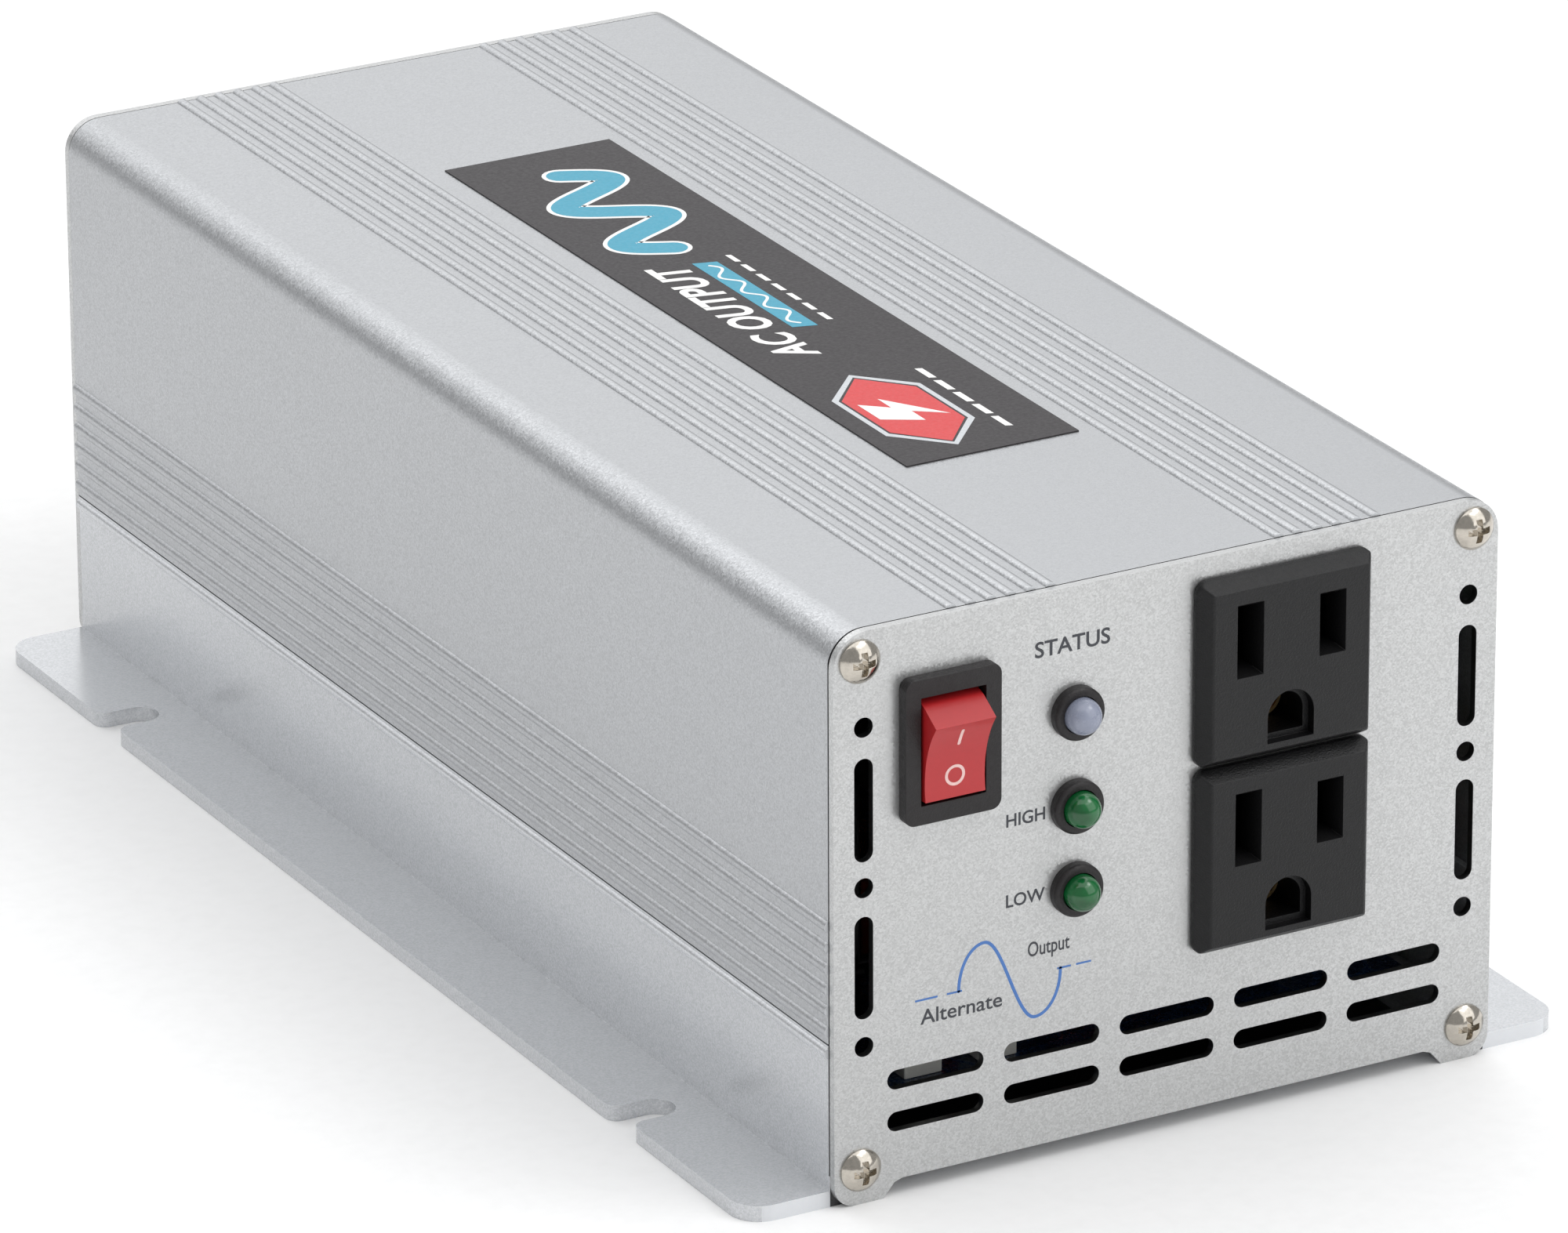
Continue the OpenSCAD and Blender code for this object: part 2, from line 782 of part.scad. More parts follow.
module thermal_pads() {
    z0 = seam_z - tongue_root;
    z1 = seam_z + tongue_rise;
    color([0.55, 0.62, 0.7]) for (row = [[-1, left_fet_y], [1, right_fet_y]]) {
        x0 = row[0] > 0 ? spreader_x + spreader_t : -spreader_x - spreader_t - pad_t;
        block(x0, row[1] - fet_pitch / 2, z0, x0 + pad_t, row[1] + (fet_count - 0.5) * fet_pitch, z1);
    }
}

module fet_row(side, y0) {
    fet_places(side, y0) mirror([side > 0 ? 1 : 0, 0, 0]) {
        block(0, -fet_w / 2, fet_z0, fet_tab_t, fet_w / 2, fet_z0 + fet_h);
        block(0, -fet_w / 2, fet_z0, fet_t, fet_w / 2, fet_z0 + fet_body_h);
        for (y = [-2.54, 0, 2.54]) block(2.2, y - 0.4, board_top - 2.4, 2.8, y + 0.4, fet_z0 + eps);
    }
}

module mosfets_left() {
    color([0.15, 0.15, 0.16]) fet_row(-1, left_fet_y);
}

module mosfets_right() {
    color([0.15, 0.15, 0.16]) fet_row(1, right_fet_y);
}

// Clamp screws sit between the devices
module clamp_places(side, y0) {
    for (i = [0, fet_count - 2])
        translate([side * spreader_x, y0 + (i + 0.5) * fet_pitch, clamp_z]) children();
}

module clamp_holes(side, y0) {
    clamp_places(side, y0) rotate([0, side * 90, 0])
        translate([0, 0, -1]) cylinder(h = spreader_t, r = channel_r);
}

module mosfet_clamps() {
    color([0.6, 0.61, 0.62]) for (row = [[-1, left_fet_y], [1, right_fet_y]]) {
        side = row[0];
        x0 = side > 0 ? spreader_x - fet_t - clamp_t : -spreader_x + fet_t;
        difference() {
            block(x0, row[1] - fet_w / 2, clamp_z - 3.5, x0 + clamp_t,
                  row[1] + (fet_count - 1) * fet_pitch + fet_w / 2, clamp_z + 3.5);
            clamp_places(side, row[1]) rotate([0, -side * 90, 0]) cylinder(h = fet_t + 3, r = m3_hole_r);
        }
    }
}

module clamp_screws() {
    color([0.8, 0.8, 0.78]) for (row = [[-1, left_fet_y], [1, right_fet_y]]) {
        side = row[0];
        clamp_places(side, row[1]) translate([-side * (fet_t + clamp_t), 0, 0]) rotate([0, 0, -side * 90])
            pan_screw(m3_head_r - 0.3, 2, m3_shank_r, fet_t + clamp_t + 2);
    }
}

// ---- Transformers, inductors and capacitors ----

module transformer_cores() {
    color([0.22, 0.22, 0.24]) for (x = transformer_x) translate([x, 0, core_z])
        along_y(transformer_y - core_t / 2, transformer_y + core_t / 2) difference() {
            square(core_w, center = true);
            both_sides() translate([(leg_w + window_w) / 2, 0])
                square([window_w, window_h], center = true);
        }
}

module transformer_coils() {
    coil_w = leg_w + 2 * window_w - 2 * coil_gap;
    coil_h = window_h - 2 * coil_gap;
    coil_d = core_t + 12;
    base_h = 2.6;
    color([0.85, 0.72, 0.2]) for (x = transformer_x) translate([x, transformer_y, 0]) {
        difference() {
            translate([0, 0, core_z]) cube([coil_w, coil_d, coil_h], center = true);
            translate([0, 0, core_z])
                cube([leg_w + 2 * coil_gap, core_t + 2 * coil_gap, core_w], center = true);
        }
        block(-coil_w / 2, -coil_d / 2, board_top, coil_w / 2, coil_d / 2, board_top + base_h);
        for (s = [0, 1]) mirror([0, s, 0])
            block(-8, core_t / 2 + 1, board_top + 1, 8, coil_d / 2, core_z - coil_h / 2 + 1);
    }
}

module inductor_cores() {
    color([0.75, 0.7, 0.25]) for (x = choke_x) translate([x, choke_y, choke_z]) rotate_extrude()
        translate([choke_in, -choke_half]) square([choke_out - choke_in, 2 * choke_half]);
}

module inductor_windings() {
    gap = 0.1;
    color([0.7, 0.38, 0.18]) for (x = choke_x) translate([x, choke_y, choke_z])
        rotate(30) rotate_extrude(angle = 300) difference() {
            translate([choke_in - gap - wind_t, -choke_half - gap - wind_t])
                square([choke_out - choke_in + 2 * (gap + wind_t), 2 * (choke_half + gap + wind_t)]);
            translate([choke_in - gap, -choke_half - gap])
                square([choke_out - choke_in + 2 * gap, 2 * (choke_half + gap)]);
        }
}

// A standing can with a groove near its base, as electrolytic capacitors have
module can(r, h) {
    groove_z = 3;
    difference() {
        cylinder(h = h, r = r);
        translate([0, 0, groove_z]) rotate_extrude() translate([r, 0]) circle(r = 0.5);
    }
}

module storage_capacitors() {
    color([0.12, 0.13, 0.2]) for (x = [-18, 3])
        translate([x, front_y + 108, board_top]) can(storage_r, storage_h);
}

module input_capacitors() {
    color([0.1, 0.12, 0.1]) for (i = [0:3])
        translate([-27 + (2 * input_r + 0.5) * i, front_y + 190, board_top]) can(input_r, input_h);
}

module film_capacitors() {
    color([0.85, 0.75, 0.25]) for (x = [-12, 14])
        block(x - 9, front_y + 38, board_top, x + 9, front_y + 46, board_top + 15);
}

module control_board() {
    color([0.1, 0.35, 0.2]) translate([control_x, control_y0, board_top])
        block(0, 0, 0, board_t, 44, 32);
}

module control_chips() {
    // Each chip's place along the board and up it, and its length and height
    chips = [[8, 10, 12, 10], [28, 12, 10, 4], [30, 24, 7, 2.5]];
    color([0.1, 0.1, 0.11]) for (c = chips) translate([control_x, control_y0 + c[0], board_top + c[1]])
        block(-1.8, 0, 0, 0, c[2], c[3]);
}

module fuses() {
    color([0.85, 0.45, 0.1]) for (i = [0:2]) translate([31, front_y + 166 + 10 * i, board_top]) {
        block(-9.5, -2.5, 6, 9.5, 2.5, 18);
        both_sides() block(4, -0.4, -2, 9, 0.4, 6 + eps);
    }
}

module wire_headers() {
    color([0.92, 0.91, 0.88]) for (x = header_x) translate([x, header_y, 0])
        block(-header_half, -header_half, board_top, header_half, header_half, board_top + header_h);
}

// ---- Fan ----

module fan_frame() {
    motor_y1 = fan_y0 + 3;
    color([0.1, 0.1, 0.11]) translate([fan_x, 0, fan_z]) {
        along_y(fan_y0, fan_y1) difference() {
            rounded_rect(fan_size, fan_size, 3);
            circle(r = fan_duct_r);
            for (x = [-1, 1], z = [-1, 1])
                translate([x * fan_hole_half, z * fan_hole_half]) circle(r = 2.15);
        }
        difference() {
            union() {
                rod_y(0, fan_y0, motor_y1, 0, rotor_hub_r);
                rod_y(0, fan_y0, fan_y0 + 7, 0, 3.5);
                for (a = [0, 120, 240]) rotate([0, a + 30, 0])
                    block(-1.6, fan_y0, 0, 1.6, fan_y0 + 2, fan_duct_r + 0.5);
            }
            rod_y(0, fan_y0 + 1, fan_y0 + 8, 0, fan_shaft_r + stud_fit);
        }
    }
}

// Hub with flat, pitched blades trimmed to the duct
module fan_rotor() {
    hub_y0 = fan_y0 + 3.6;
    hub_y1 = fan_y1 - 1.2;
    blade_mid = (hub_y0 + hub_y1) / 2;
    blade_chord = 13;
    blade_pitch = 38;
    color([0.12, 0.12, 0.13]) translate([fan_x, 0, fan_z]) {
        difference() {
            rod_y(0, hub_y0, hub_y1, 0, rotor_hub_r);
            rod_y(0, hub_y0 - 1, fan_y0 + 8.5, 0, 4.5);
            rod_y(0, hub_y0, hub_y1 - 1.5, 0, fan_shaft_r);
        }
        intersection() {
            for (i = [0:blade_count - 1]) rotate([0, i * 360 / blade_count, 0])
                translate([0, blade_mid, 0]) rotate([0, 0, 90 - blade_pitch])
                    block(-0.6, -blade_chord / 2, rotor_hub_r - 1.2, 0.6, blade_chord / 2, rotor_r + 2);
            difference() {
                rod_y(0, hub_y0, hub_y1, 0, rotor_r);
                rod_y(0, hub_y0 - 1, hub_y1 + 1, 0, rotor_hub_r - 0.8);
            }
        }
    }
}

module fan_shaft() {
    color([0.7, 0.7, 0.72]) rod_y(fan_x, fan_y0 + 1.4, fan_y1 - 2.7, fan_z, fan_shaft_r);
}

module fan_screws() {
    color([0.8, 0.8, 0.78]) translate([0, rear_y, 0]) mirror([0, 1, 0]) fan_hole_places()
        pan_screw(4, 2.8, 1.95, panel_t + fan_t + 4);
}

module fan_nuts() {
    color([0.78, 0.78, 0.76]) fan_hole_places() difference() {
        hexagon_y(7, fan_y0 - 3.2, fan_y0);
        rod_y(0, fan_y0 - 4, fan_y0 + 1, 0, 2);
    }
}

// ---- Terminals ----

module terminal_collars(z) {
    translate([terminal_x, 0, z]) difference() {
        union() {
            rod_y(0, rear_y, rear_y + collar_t, 0, collar_r);
            rod_y(0, case_y1, rear_y + eps, 0, collar_neck_r);
            rod_y(0, case_y1 - inner_collar_t, case_y1, 0, collar_r);
        }
        rod_y(0, case_y1 - inner_collar_t - 1, rear_y + collar_t + 1, 0, stud_r + stud_fit);
    }
}

module terminal_collars_red() {
    color([0.75, 0.1, 0.1]) terminal_collars(terminal_z_red);
}

module terminal_collars_black() {
    color([0.1, 0.1, 0.1]) terminal_collars(terminal_z_black);
}

module terminal_studs() {
    head_y1 = case_y1 - inner_collar_t - lug_t;
    color([0.8, 0.68, 0.42]) for (z = [terminal_z_red, terminal_z_black]) translate([terminal_x, 0, z]) {
        hexagon_y(nut_af, head_y1 - 4, head_y1);
        rod_y(0, head_y1 - eps, rear_y + stud_out, 0, stud_r);
    }
}

module terminal_washer(z) {
    y0 = rear_y + collar_t;
    translate([terminal_x, 0, z]) difference() {
        rod_y(0, y0, y0 + washer_t, 0, washer_r);
        rod_y(0, y0 - 1, y0 + washer_t + 1, 0, stud_r + 0.2);
    }
}

module terminal_nut(z) {
    y0 = rear_y + collar_t + washer_t;
    translate([terminal_x, 0, z]) difference() {
        hexagon_y(nut_af, y0, y0 + nut_t);
        rod_y(0, y0 - 1, y0 + nut_t + 1, 0, stud_r + stud_fit);
    }
}

module washer_red() {
    color([0.82, 0.8, 0.76]) terminal_washer(terminal_z_red);
}

module washer_black() {
    color([0.82, 0.8, 0.76]) terminal_washer(terminal_z_black);
}

module nut_red() {
    color([0.84, 0.76, 0.56]) terminal_nut(terminal_z_red);
}

module nut_black() {
    color([0.84, 0.76, 0.56]) terminal_nut(terminal_z_black);
}

module ground_screw() {
    color([0.8, 0.8, 0.78]) translate([ground_x, rear_y + ground_washer_t, ground_z]) mirror([0, 1, 0])
        pan_screw(3.8, 2.6, 1.95, 9);
}

module ground_washer() {
    color([0.7, 0.7, 0.7]) translate([ground_x, 0, ground_z]) difference() {
        rod_y(0, rear_y, rear_y + ground_washer_t, 0, 4.4);
        rod_y(0, rear_y - 1, rear_y + 2, 0, 2.15);
    }
}

// ---- Wiring ----

// A ring lug on the stud, and the cable down to the board; side is the way that the lug points
module dc_cable(z, side) {
    lug_y0 = case_y1 - inner_collar_t - lug_t;
    lug_y1 = case_y1 - inner_collar_t;
    lug_len = 12;
    cable_r = 2.3;
    cable_y = lug_y0 - 1.8;
    x = terminal_x + side * lug_len;
    run_z = board_top + 10;
    difference() {
        union() {
            rod_y(terminal_x, lug_y0, lug_y1, z, 5.6);
            translate([terminal_x, 0, z]) mirror([side > 0 ? 0 : 1, 0, 0])
                block(0, lug_y0, -3, lug_len, lug_y1, 3);
        }
        rod_y(terminal_x, lug_y0 - 1, lug_y1 + 1, z, stud_r + 0.2);
    }
    wire([[terminal_x + side * (lug_len - 3), cable_y, z], [x, cable_y, z], [x, cable_y, run_z],
          [x, board_y1 - 4, run_z], [x, board_y1 - 4, board_top]], cable_r);
}

module dc_cable_red() {
    color([0.7, 0.1, 0.1]) dc_cable(terminal_z_red, -1);
}

module dc_cable_black() {
    color([0.1, 0.1, 0.1]) dc_cable(terminal_z_black, 1);
}

module ac_wires() {
    tail_y = front_y + outlet_depth + 5;
    r = 0.9;
    color([0.15, 0.15, 0.16]) for (z = outlet_z, p = [neutral_at(), hot_at(), ground_at()]) {
        drop_y = tail_y + (z == outlet_z[0] ? 8 : 4);
        wire([[outlet_x + p.x, tail_y, z + p.y], [outlet_x + p.x, drop_y, z + p.y],
              [outlet_x + p.x, drop_y, board_top]], r);
    }
}

module switch_wires() {
    tab_end = front_y + switch_depth + switch_tab_out;
    r = 0.7;
    run_z = board_top + header_h + 4;
    color([0.12, 0.12, 0.13]) for (s = [-1, 1]) {
        x = switch_x + s;
        end_x = header_x[0] + s * 1.3;
        z = switch_z + s * switch_tab_z;
        bend_y = tab_end + 4.2 + s * 1.2;
        wire([[x, tab_end, z], [x, bend_y, z], [x, bend_y, run_z], [end_x, bend_y, run_z],
              [end_x, header_y, run_z], [end_x, header_y, board_top + header_h]], r);
    }
}

// Each lamp's pair has its own drop, and each wire its own height, so that none of them cross
module lamp_wires() {
    pin_end = front_y + lamp_barrel_len + 4.2;
    r = 0.4;
    color([0.85, 0.85, 0.82]) for (i = [0:2], s = [-1, 1]) {
        x = lamp_x + s * 1.27;
        bend_y = pin_end + 12 - i * 2;
        end_x = header_x[1] + (i - 1) * 2 + s * 0.5;
        run_z = board_top + header_h + 3.6 + 3 * i - s * 0.6;
        wire([[x, pin_end, lamp_z[i]], [x, bend_y, lamp_z[i]], [x, bend_y, run_z], [end_x, bend_y, run_z],
              [end_x, header_y, run_z], [end_x, header_y, board_top + header_h]], r);
    }
}

module fan_wires() {
    r = 0.5;
    exit_z = fan_z - fan_size / 2 + 1.5;
    drop_y = fan_y0 - 2.5;
    color([0.6, 0.1, 0.1]) for (s = [-1, 1]) {
        x = fan_x + 14 + s;
        wire([[x, fan_y0, exit_z], [x, drop_y, exit_z], [x, drop_y, board_top + 4],
              [x, board_y1 - 3, board_top + 4], [x, board_y1 - 3, board_top]], r);
    }
}

upper_shell();
lower_chassis();
front_panel();
rear_panel();
front_panel_screws();
rear_panel_screws();
top_label();
switch_housing();
switch_rocker();
switch_terminals();
led_bezels();
led_power();
led_upper_status();
led_lower_status();
outlet_upper();
outlet_lower();
outlet_upper_contacts();
outlet_lower_contacts();
main_board();
board_standoffs();
board_screws();
insulating_sheet();
heat_spreader_left();
heat_spreader_right();
thermal_pads();
mosfets_left();
mosfets_right();
mosfet_clamps();
clamp_screws();
transformer_cores();
transformer_coils();
inductor_cores();
inductor_windings();
storage_capacitors();
input_capacitors();
film_capacitors();
control_board();
control_chips();
fuses();
wire_headers();
fan_frame();
fan_rotor();
fan_shaft();
fan_screws();
fan_nuts();
terminal_collars_red();
terminal_collars_black();
terminal_studs();
washer_red();
washer_black();
nut_red();
nut_black();
ground_screw();
ground_washer();
dc_cable_red();
dc_cable_black();
ac_wires();
switch_wires();
lamp_wires();
fan_wires();
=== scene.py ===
"""The looks of a small sine-wave power inverter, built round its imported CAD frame."""

import json
import math

import bmesh
import bpy
from mathutils import Matrix, Vector
from mathutils.bvhtree import BVHTree

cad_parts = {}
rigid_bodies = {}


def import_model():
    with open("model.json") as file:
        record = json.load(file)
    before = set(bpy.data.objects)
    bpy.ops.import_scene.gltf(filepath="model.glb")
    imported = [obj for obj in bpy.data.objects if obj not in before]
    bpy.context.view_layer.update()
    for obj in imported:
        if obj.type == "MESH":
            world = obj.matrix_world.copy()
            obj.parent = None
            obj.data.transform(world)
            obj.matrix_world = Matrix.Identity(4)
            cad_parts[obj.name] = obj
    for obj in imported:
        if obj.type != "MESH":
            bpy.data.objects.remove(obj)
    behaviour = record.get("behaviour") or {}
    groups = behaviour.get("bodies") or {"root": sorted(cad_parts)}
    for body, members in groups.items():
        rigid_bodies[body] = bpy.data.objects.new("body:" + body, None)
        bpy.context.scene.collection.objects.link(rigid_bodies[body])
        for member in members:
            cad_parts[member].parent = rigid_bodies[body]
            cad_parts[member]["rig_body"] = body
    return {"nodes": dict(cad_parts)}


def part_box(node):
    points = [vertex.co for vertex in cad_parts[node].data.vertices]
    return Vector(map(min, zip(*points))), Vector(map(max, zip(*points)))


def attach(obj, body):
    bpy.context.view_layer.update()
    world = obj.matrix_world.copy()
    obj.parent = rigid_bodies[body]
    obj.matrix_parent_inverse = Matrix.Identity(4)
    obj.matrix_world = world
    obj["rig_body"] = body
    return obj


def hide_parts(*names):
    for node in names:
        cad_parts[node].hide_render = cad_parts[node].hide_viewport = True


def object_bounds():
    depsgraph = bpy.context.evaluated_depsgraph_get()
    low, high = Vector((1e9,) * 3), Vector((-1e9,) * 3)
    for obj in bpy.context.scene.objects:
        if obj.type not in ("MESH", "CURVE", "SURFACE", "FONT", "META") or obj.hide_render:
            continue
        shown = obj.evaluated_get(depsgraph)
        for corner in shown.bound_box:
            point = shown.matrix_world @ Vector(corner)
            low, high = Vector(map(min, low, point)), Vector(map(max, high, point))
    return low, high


MM = 0.001
RANGE_SOCKETS = ("From Min", "From Max", "To Min", "To Max")

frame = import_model()
cad_low, cad_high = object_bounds()
nodes = frame["nodes"]
scene = bpy.context.scene

front_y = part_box("front_panel")[0].y
top_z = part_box("top_label")[0].z


# ---- Materials ----

NOISE_ROUGHNESS = 0.6
NOISE_SPREAD = (0.3, 0.7)
# The size of the lumps that the gloss varies in, in mm
GLOSS_GRAIN = 0.6


class Finish:
    """A Principled material with the noises, mixes and bumps that give it its detail."""

    def __init__(self, name, roughness, metallic=0.0, **sockets):
        self.material = bpy.data.materials.new(name)
        self.material.use_nodes = True
        self.tree = self.material.node_tree
        self.shader = self.tree.nodes["Principled BSDF"]
        self.shader.inputs["Metallic"].default_value = metallic
        for socket, value in sockets.items():
            self.shader.inputs[socket.replace("_", " ")].default_value = value
        self.place = self.add("ShaderNodeTexCoord").outputs["Object"]
        self.normal = None
        self.roughness(*roughness)

    def add(self, kind, **settings):
        node = self.tree.nodes.new(kind)
        for key, value in settings.items():
            setattr(node, key, value)
        return node

    def feed(self, socket, value):
        if isinstance(value, bpy.types.NodeSocket):
            self.tree.links.new(value, socket)
        else:
            socket.default_value = value

    def stretched(self, stretch):
        node = self.add("ShaderNodeMapping")
        self.feed(node.inputs["Vector"], self.place)
        node.inputs["Scale"].default_value = stretch
        return node.outputs["Vector"]

    def noise(self, size, detail=3.0, stretch=None):
        """Soft noise from 0 to 1 whose lumps are about size mm across."""
        node = self.add("ShaderNodeTexNoise")
        self.feed(node.inputs["Vector"], self.stretched(stretch) if stretch else self.place)
        node.inputs["Scale"].default_value = 1 / (size * MM)
        node.inputs["Detail"].default_value = detail
        node.inputs["Roughness"].default_value = NOISE_ROUGHNESS
        return self.ramp(node.outputs["Fac"], *NOISE_SPREAD, 0.0, 1.0)

    def ramp(self, value, low, high, to_low, to_high):
        node = self.add("ShaderNodeMapRange")
        self.feed(node.inputs["Value"], value)
        for key, number in zip(RANGE_SOCKETS, (low, high, to_low, to_high)):
            node.inputs[key].default_value = number
        return node.outputs["Result"]

    def upto(self, value, most):
        """A value from 0 to 1, scaled down to reach no more than most."""
        return self.ramp(value, 0.0, 1.0, 0.0, most)

    def mix(self, share, a, b, blend="MIX"):
        node = self.add("ShaderNodeMix", data_type="RGBA", blend_type=blend)
        for socket, value in ((node.inputs[0], share), (node.inputs[6], a), (node.inputs[7], b)):
            self.feed(socket, value)
        return node.outputs[2]

    def colour(self, value):
        self.feed(self.shader.inputs["Base Color"], value)

    def roughness(self, low, high):
        grain = self.noise(GLOSS_GRAIN)
        self.feed(self.shader.inputs["Roughness"], self.ramp(grain, 0.0, 1.0, low, high))

    def bump(self, height, depth):
        """Relief of that depth, in mm, on top of any relief that is there."""
        node = self.add("ShaderNodeBump")
        node.inputs["Distance"].default_value = depth * MM
        node.inputs["Strength"].default_value = 1.0
        self.feed(node.inputs["Height"], height)
        if self.normal is not None:
            self.feed(node.inputs["Normal"], self.normal)
        self.normal = node.outputs["Normal"]
        self.feed(self.shader.inputs["Normal"], self.normal)

    def flakes(self, size, tilt):
        """Tiny facets, each leaning its own way, as bead blasting and metal flake leave."""
        cells = self.add("ShaderNodeTexVoronoi")
        self.feed(cells.inputs["Vector"], self.place)
        cells.inputs["Scale"].default_value = 1 / (size * MM)
        lean = self.add("ShaderNodeVectorMath", operation="MULTIPLY_ADD")
        self.feed(lean.inputs[0], cells.outputs["Color"])
        lean.inputs[1].default_value = (2 * tilt,) * 3
        lean.inputs[2].default_value = (-tilt,) * 3
        total = self.add("ShaderNodeVectorMath", operation="ADD")
        base = self.normal or self.add("ShaderNodeNewGeometry").outputs["Normal"]
        self.feed(total.inputs[0], base)
        self.feed(total.inputs[1], lean.outputs["Vector"])
        unit = self.add("ShaderNodeVectorMath", operation="NORMALIZE")
        self.feed(unit.inputs[0], total.outputs["Vector"])
        self.normal = unit.outputs["Vector"]
        self.feed(self.shader.inputs["Normal"], self.normal)
        return cells.outputs["Color"]


def rgb(red, green, blue):
    """Scene colour of an 8-bit display colour."""
    linear = (((c / 255 + 0.055) / 1.055) ** 2.4 if c > 10 else c / 255 / 12.92 for c in (red, green, blue))
    return tuple(linear) + (1.0,)


def toned(colour, factor):
    return tuple(min(1.0, c * factor) for c in colour[:3]) + (1.0,)


# In mm: the size of a blasted fleck, and half the width of the change from painted shade to bright on an end
# face
BLAST_GRAIN = 0.22
SHADE_BLEND = 0.03


def blasted_aluminium(name, colour, roughness=(0.29, 0.38), metallic=0.72, tilt=0.07):
    """Bead-blasted metal: fine bright and dull flecks under faint cloudy patches."""
    m = Finish(name, roughness, metallic)
    cells = m.add("ShaderNodeSeparateColor")
    m.feed(cells.inputs[0], m.flakes(BLAST_GRAIN, tilt))
    base = m.mix(cells.outputs[0], toned(colour, 0.86), toned(colour, 1.126))
    base = m.mix(m.upto(m.noise(0.45), 0.06), base, toned(colour, 0.84))
    base = m.mix(m.upto(m.noise(26.0, detail=2.0), 0.05), base, toned(colour, 0.8))
    m.colour(base)
    return m.material


def painted_end_shade(name, colour, half_width, top):
    """The ends of an extrusion, which lie in the gap behind the panels: painted near-black as the shade in
    that gap, but bright where its ribs stand clear of the panel.
    """
    m = Finish(name, (0.5, 0.65), 0.4)
    place = m.add("ShaderNodeSeparateXYZ")
    m.feed(place.inputs[0], m.place)
    across = m.add("ShaderNodeMath", operation="ABSOLUTE")
    m.feed(across.inputs[0], place.outputs["X"])
    clear = m.add("ShaderNodeMath", operation="MAXIMUM")
    edge = SHADE_BLEND * MM
    m.feed(clear.inputs[0], m.ramp(across.outputs[0], half_width - edge, half_width + edge, 0.0, 1.0))
    m.feed(clear.inputs[1], m.ramp(place.outputs["Z"], top - edge, top + edge, 0.0, 1.0))
    # Painted shade: near-black for the shadowed gap between the panels and the case
    dull = m.mix(m.noise(0.3), (0.035, 0.035, 0.037, 1), (0.07, 0.07, 0.072, 1))
    m.colour(m.mix(clear.outputs[0], dull, toned(colour, 1.6)))
    m.bump(m.noise(0.3, stretch=(1, 1, 0.2)), 0.01)
    return m.material


def plain_metal(name, colour, roughness, stretch=None, depth=0.004):
    """Bare metal with fine marks, which stretch draws out along an axis."""
    m = Finish(name, roughness, 1.0)
    m.colour(m.mix(m.noise(0.5, detail=4.0, stretch=stretch), toned(colour, 0.88), toned(colour, 1.06)))
    m.bump(m.noise(0.35, stretch=stretch), depth)
    return m.material


def moulded(name, colour, roughness, grain=0.28, depth=0.025, spread=0.22, **sockets):
    """Plastic with a fine moulded texture."""
    m = Finish(name, roughness, 0.0, **sockets)
    fine = m.noise(grain, detail=3.0)
    base = m.mix(fine, toned(colour, 1 - spread), toned(colour, 1 + spread))
    m.colour(m.mix(m.upto(m.noise(9.0), 0.25), base, toned(colour, 0.8)))
    m.bump(m.noise(grain * 0.8, detail=2.0), depth)
    return m.material


def printed(name, colour, roughness=(0.4, 0.55)):
    """Screen-print ink, a little uneven in its cover."""
    m = Finish(name, roughness)
    m.colour(m.mix(m.noise(0.35), toned(colour, 0.94), toned(colour, 1.04)))
    m.bump(m.noise(0.25), 0.004)
    return m.material


def clear_lamp(name, colour, core, roughness, through):
    """Tinted epoxy: darker body, with a paler glow of scattered light inside."""
    m = Finish(name, roughness, 0.0, Transmission_Weight=through, IOR=1.52, Coat_Weight=0.25,
               Coat_Roughness=0.06)
    m.colour(m.mix(m.noise(2.4, detail=1.0), colour, core))
    m.bump(m.noise(0.9, detail=1.0), 0.002)
    return m.material


def wound_wire(name, colour, pitch, axis):
    """Enamelled wire laid side by side, seen as fine ridges across axis, with painted shade between the
    turns.
    """
    m = Finish(name, (0.22, 0.34), 0.9)
    wave = m.add("ShaderNodeTexWave", wave_type="BANDS", bands_direction=axis, wave_profile="SIN")
    m.feed(wave.inputs["Vector"], m.place)
    wave.inputs["Scale"].default_value = 0.314 / (pitch * MM)
    wave.inputs["Distortion"].default_value = 0.6
    wave.inputs["Detail"].default_value = 1.0
    # Painted shade: the colour darkens to 0.35 of itself in the grooves between turns
    m.colour(m.mix(wave.outputs["Fac"], toned(colour, 0.35), toned(colour, 1.1)))
    m.bump(wave.outputs["Fac"], 0.25)
    return m.material


def board_laminate(name, colour, copper):
    """Solder mask over copper tracks and a ground pour."""
    m = Finish(name, (0.22, 0.34), 0.0, Coat_Weight=0.4)
    cells = m.add("ShaderNodeTexVoronoi", feature="DISTANCE_TO_EDGE", distance="MANHATTAN")
    m.feed(cells.inputs["Vector"], m.place)
    cells.inputs["Scale"].default_value = 1 / (5.5 * MM)
    track = m.ramp(cells.outputs["Distance"], 0.05, 0.07, 1.0, 0.0)
    base = m.mix(track, colour, copper)
    m.colour(m.mix(m.upto(m.noise(0.5), 0.3), base, toned(colour, 0.7)))
    m.bump(track, 0.03)
    return m.material


ALUMINIUM = (0.475, 0.485, 0.5, 1.0)

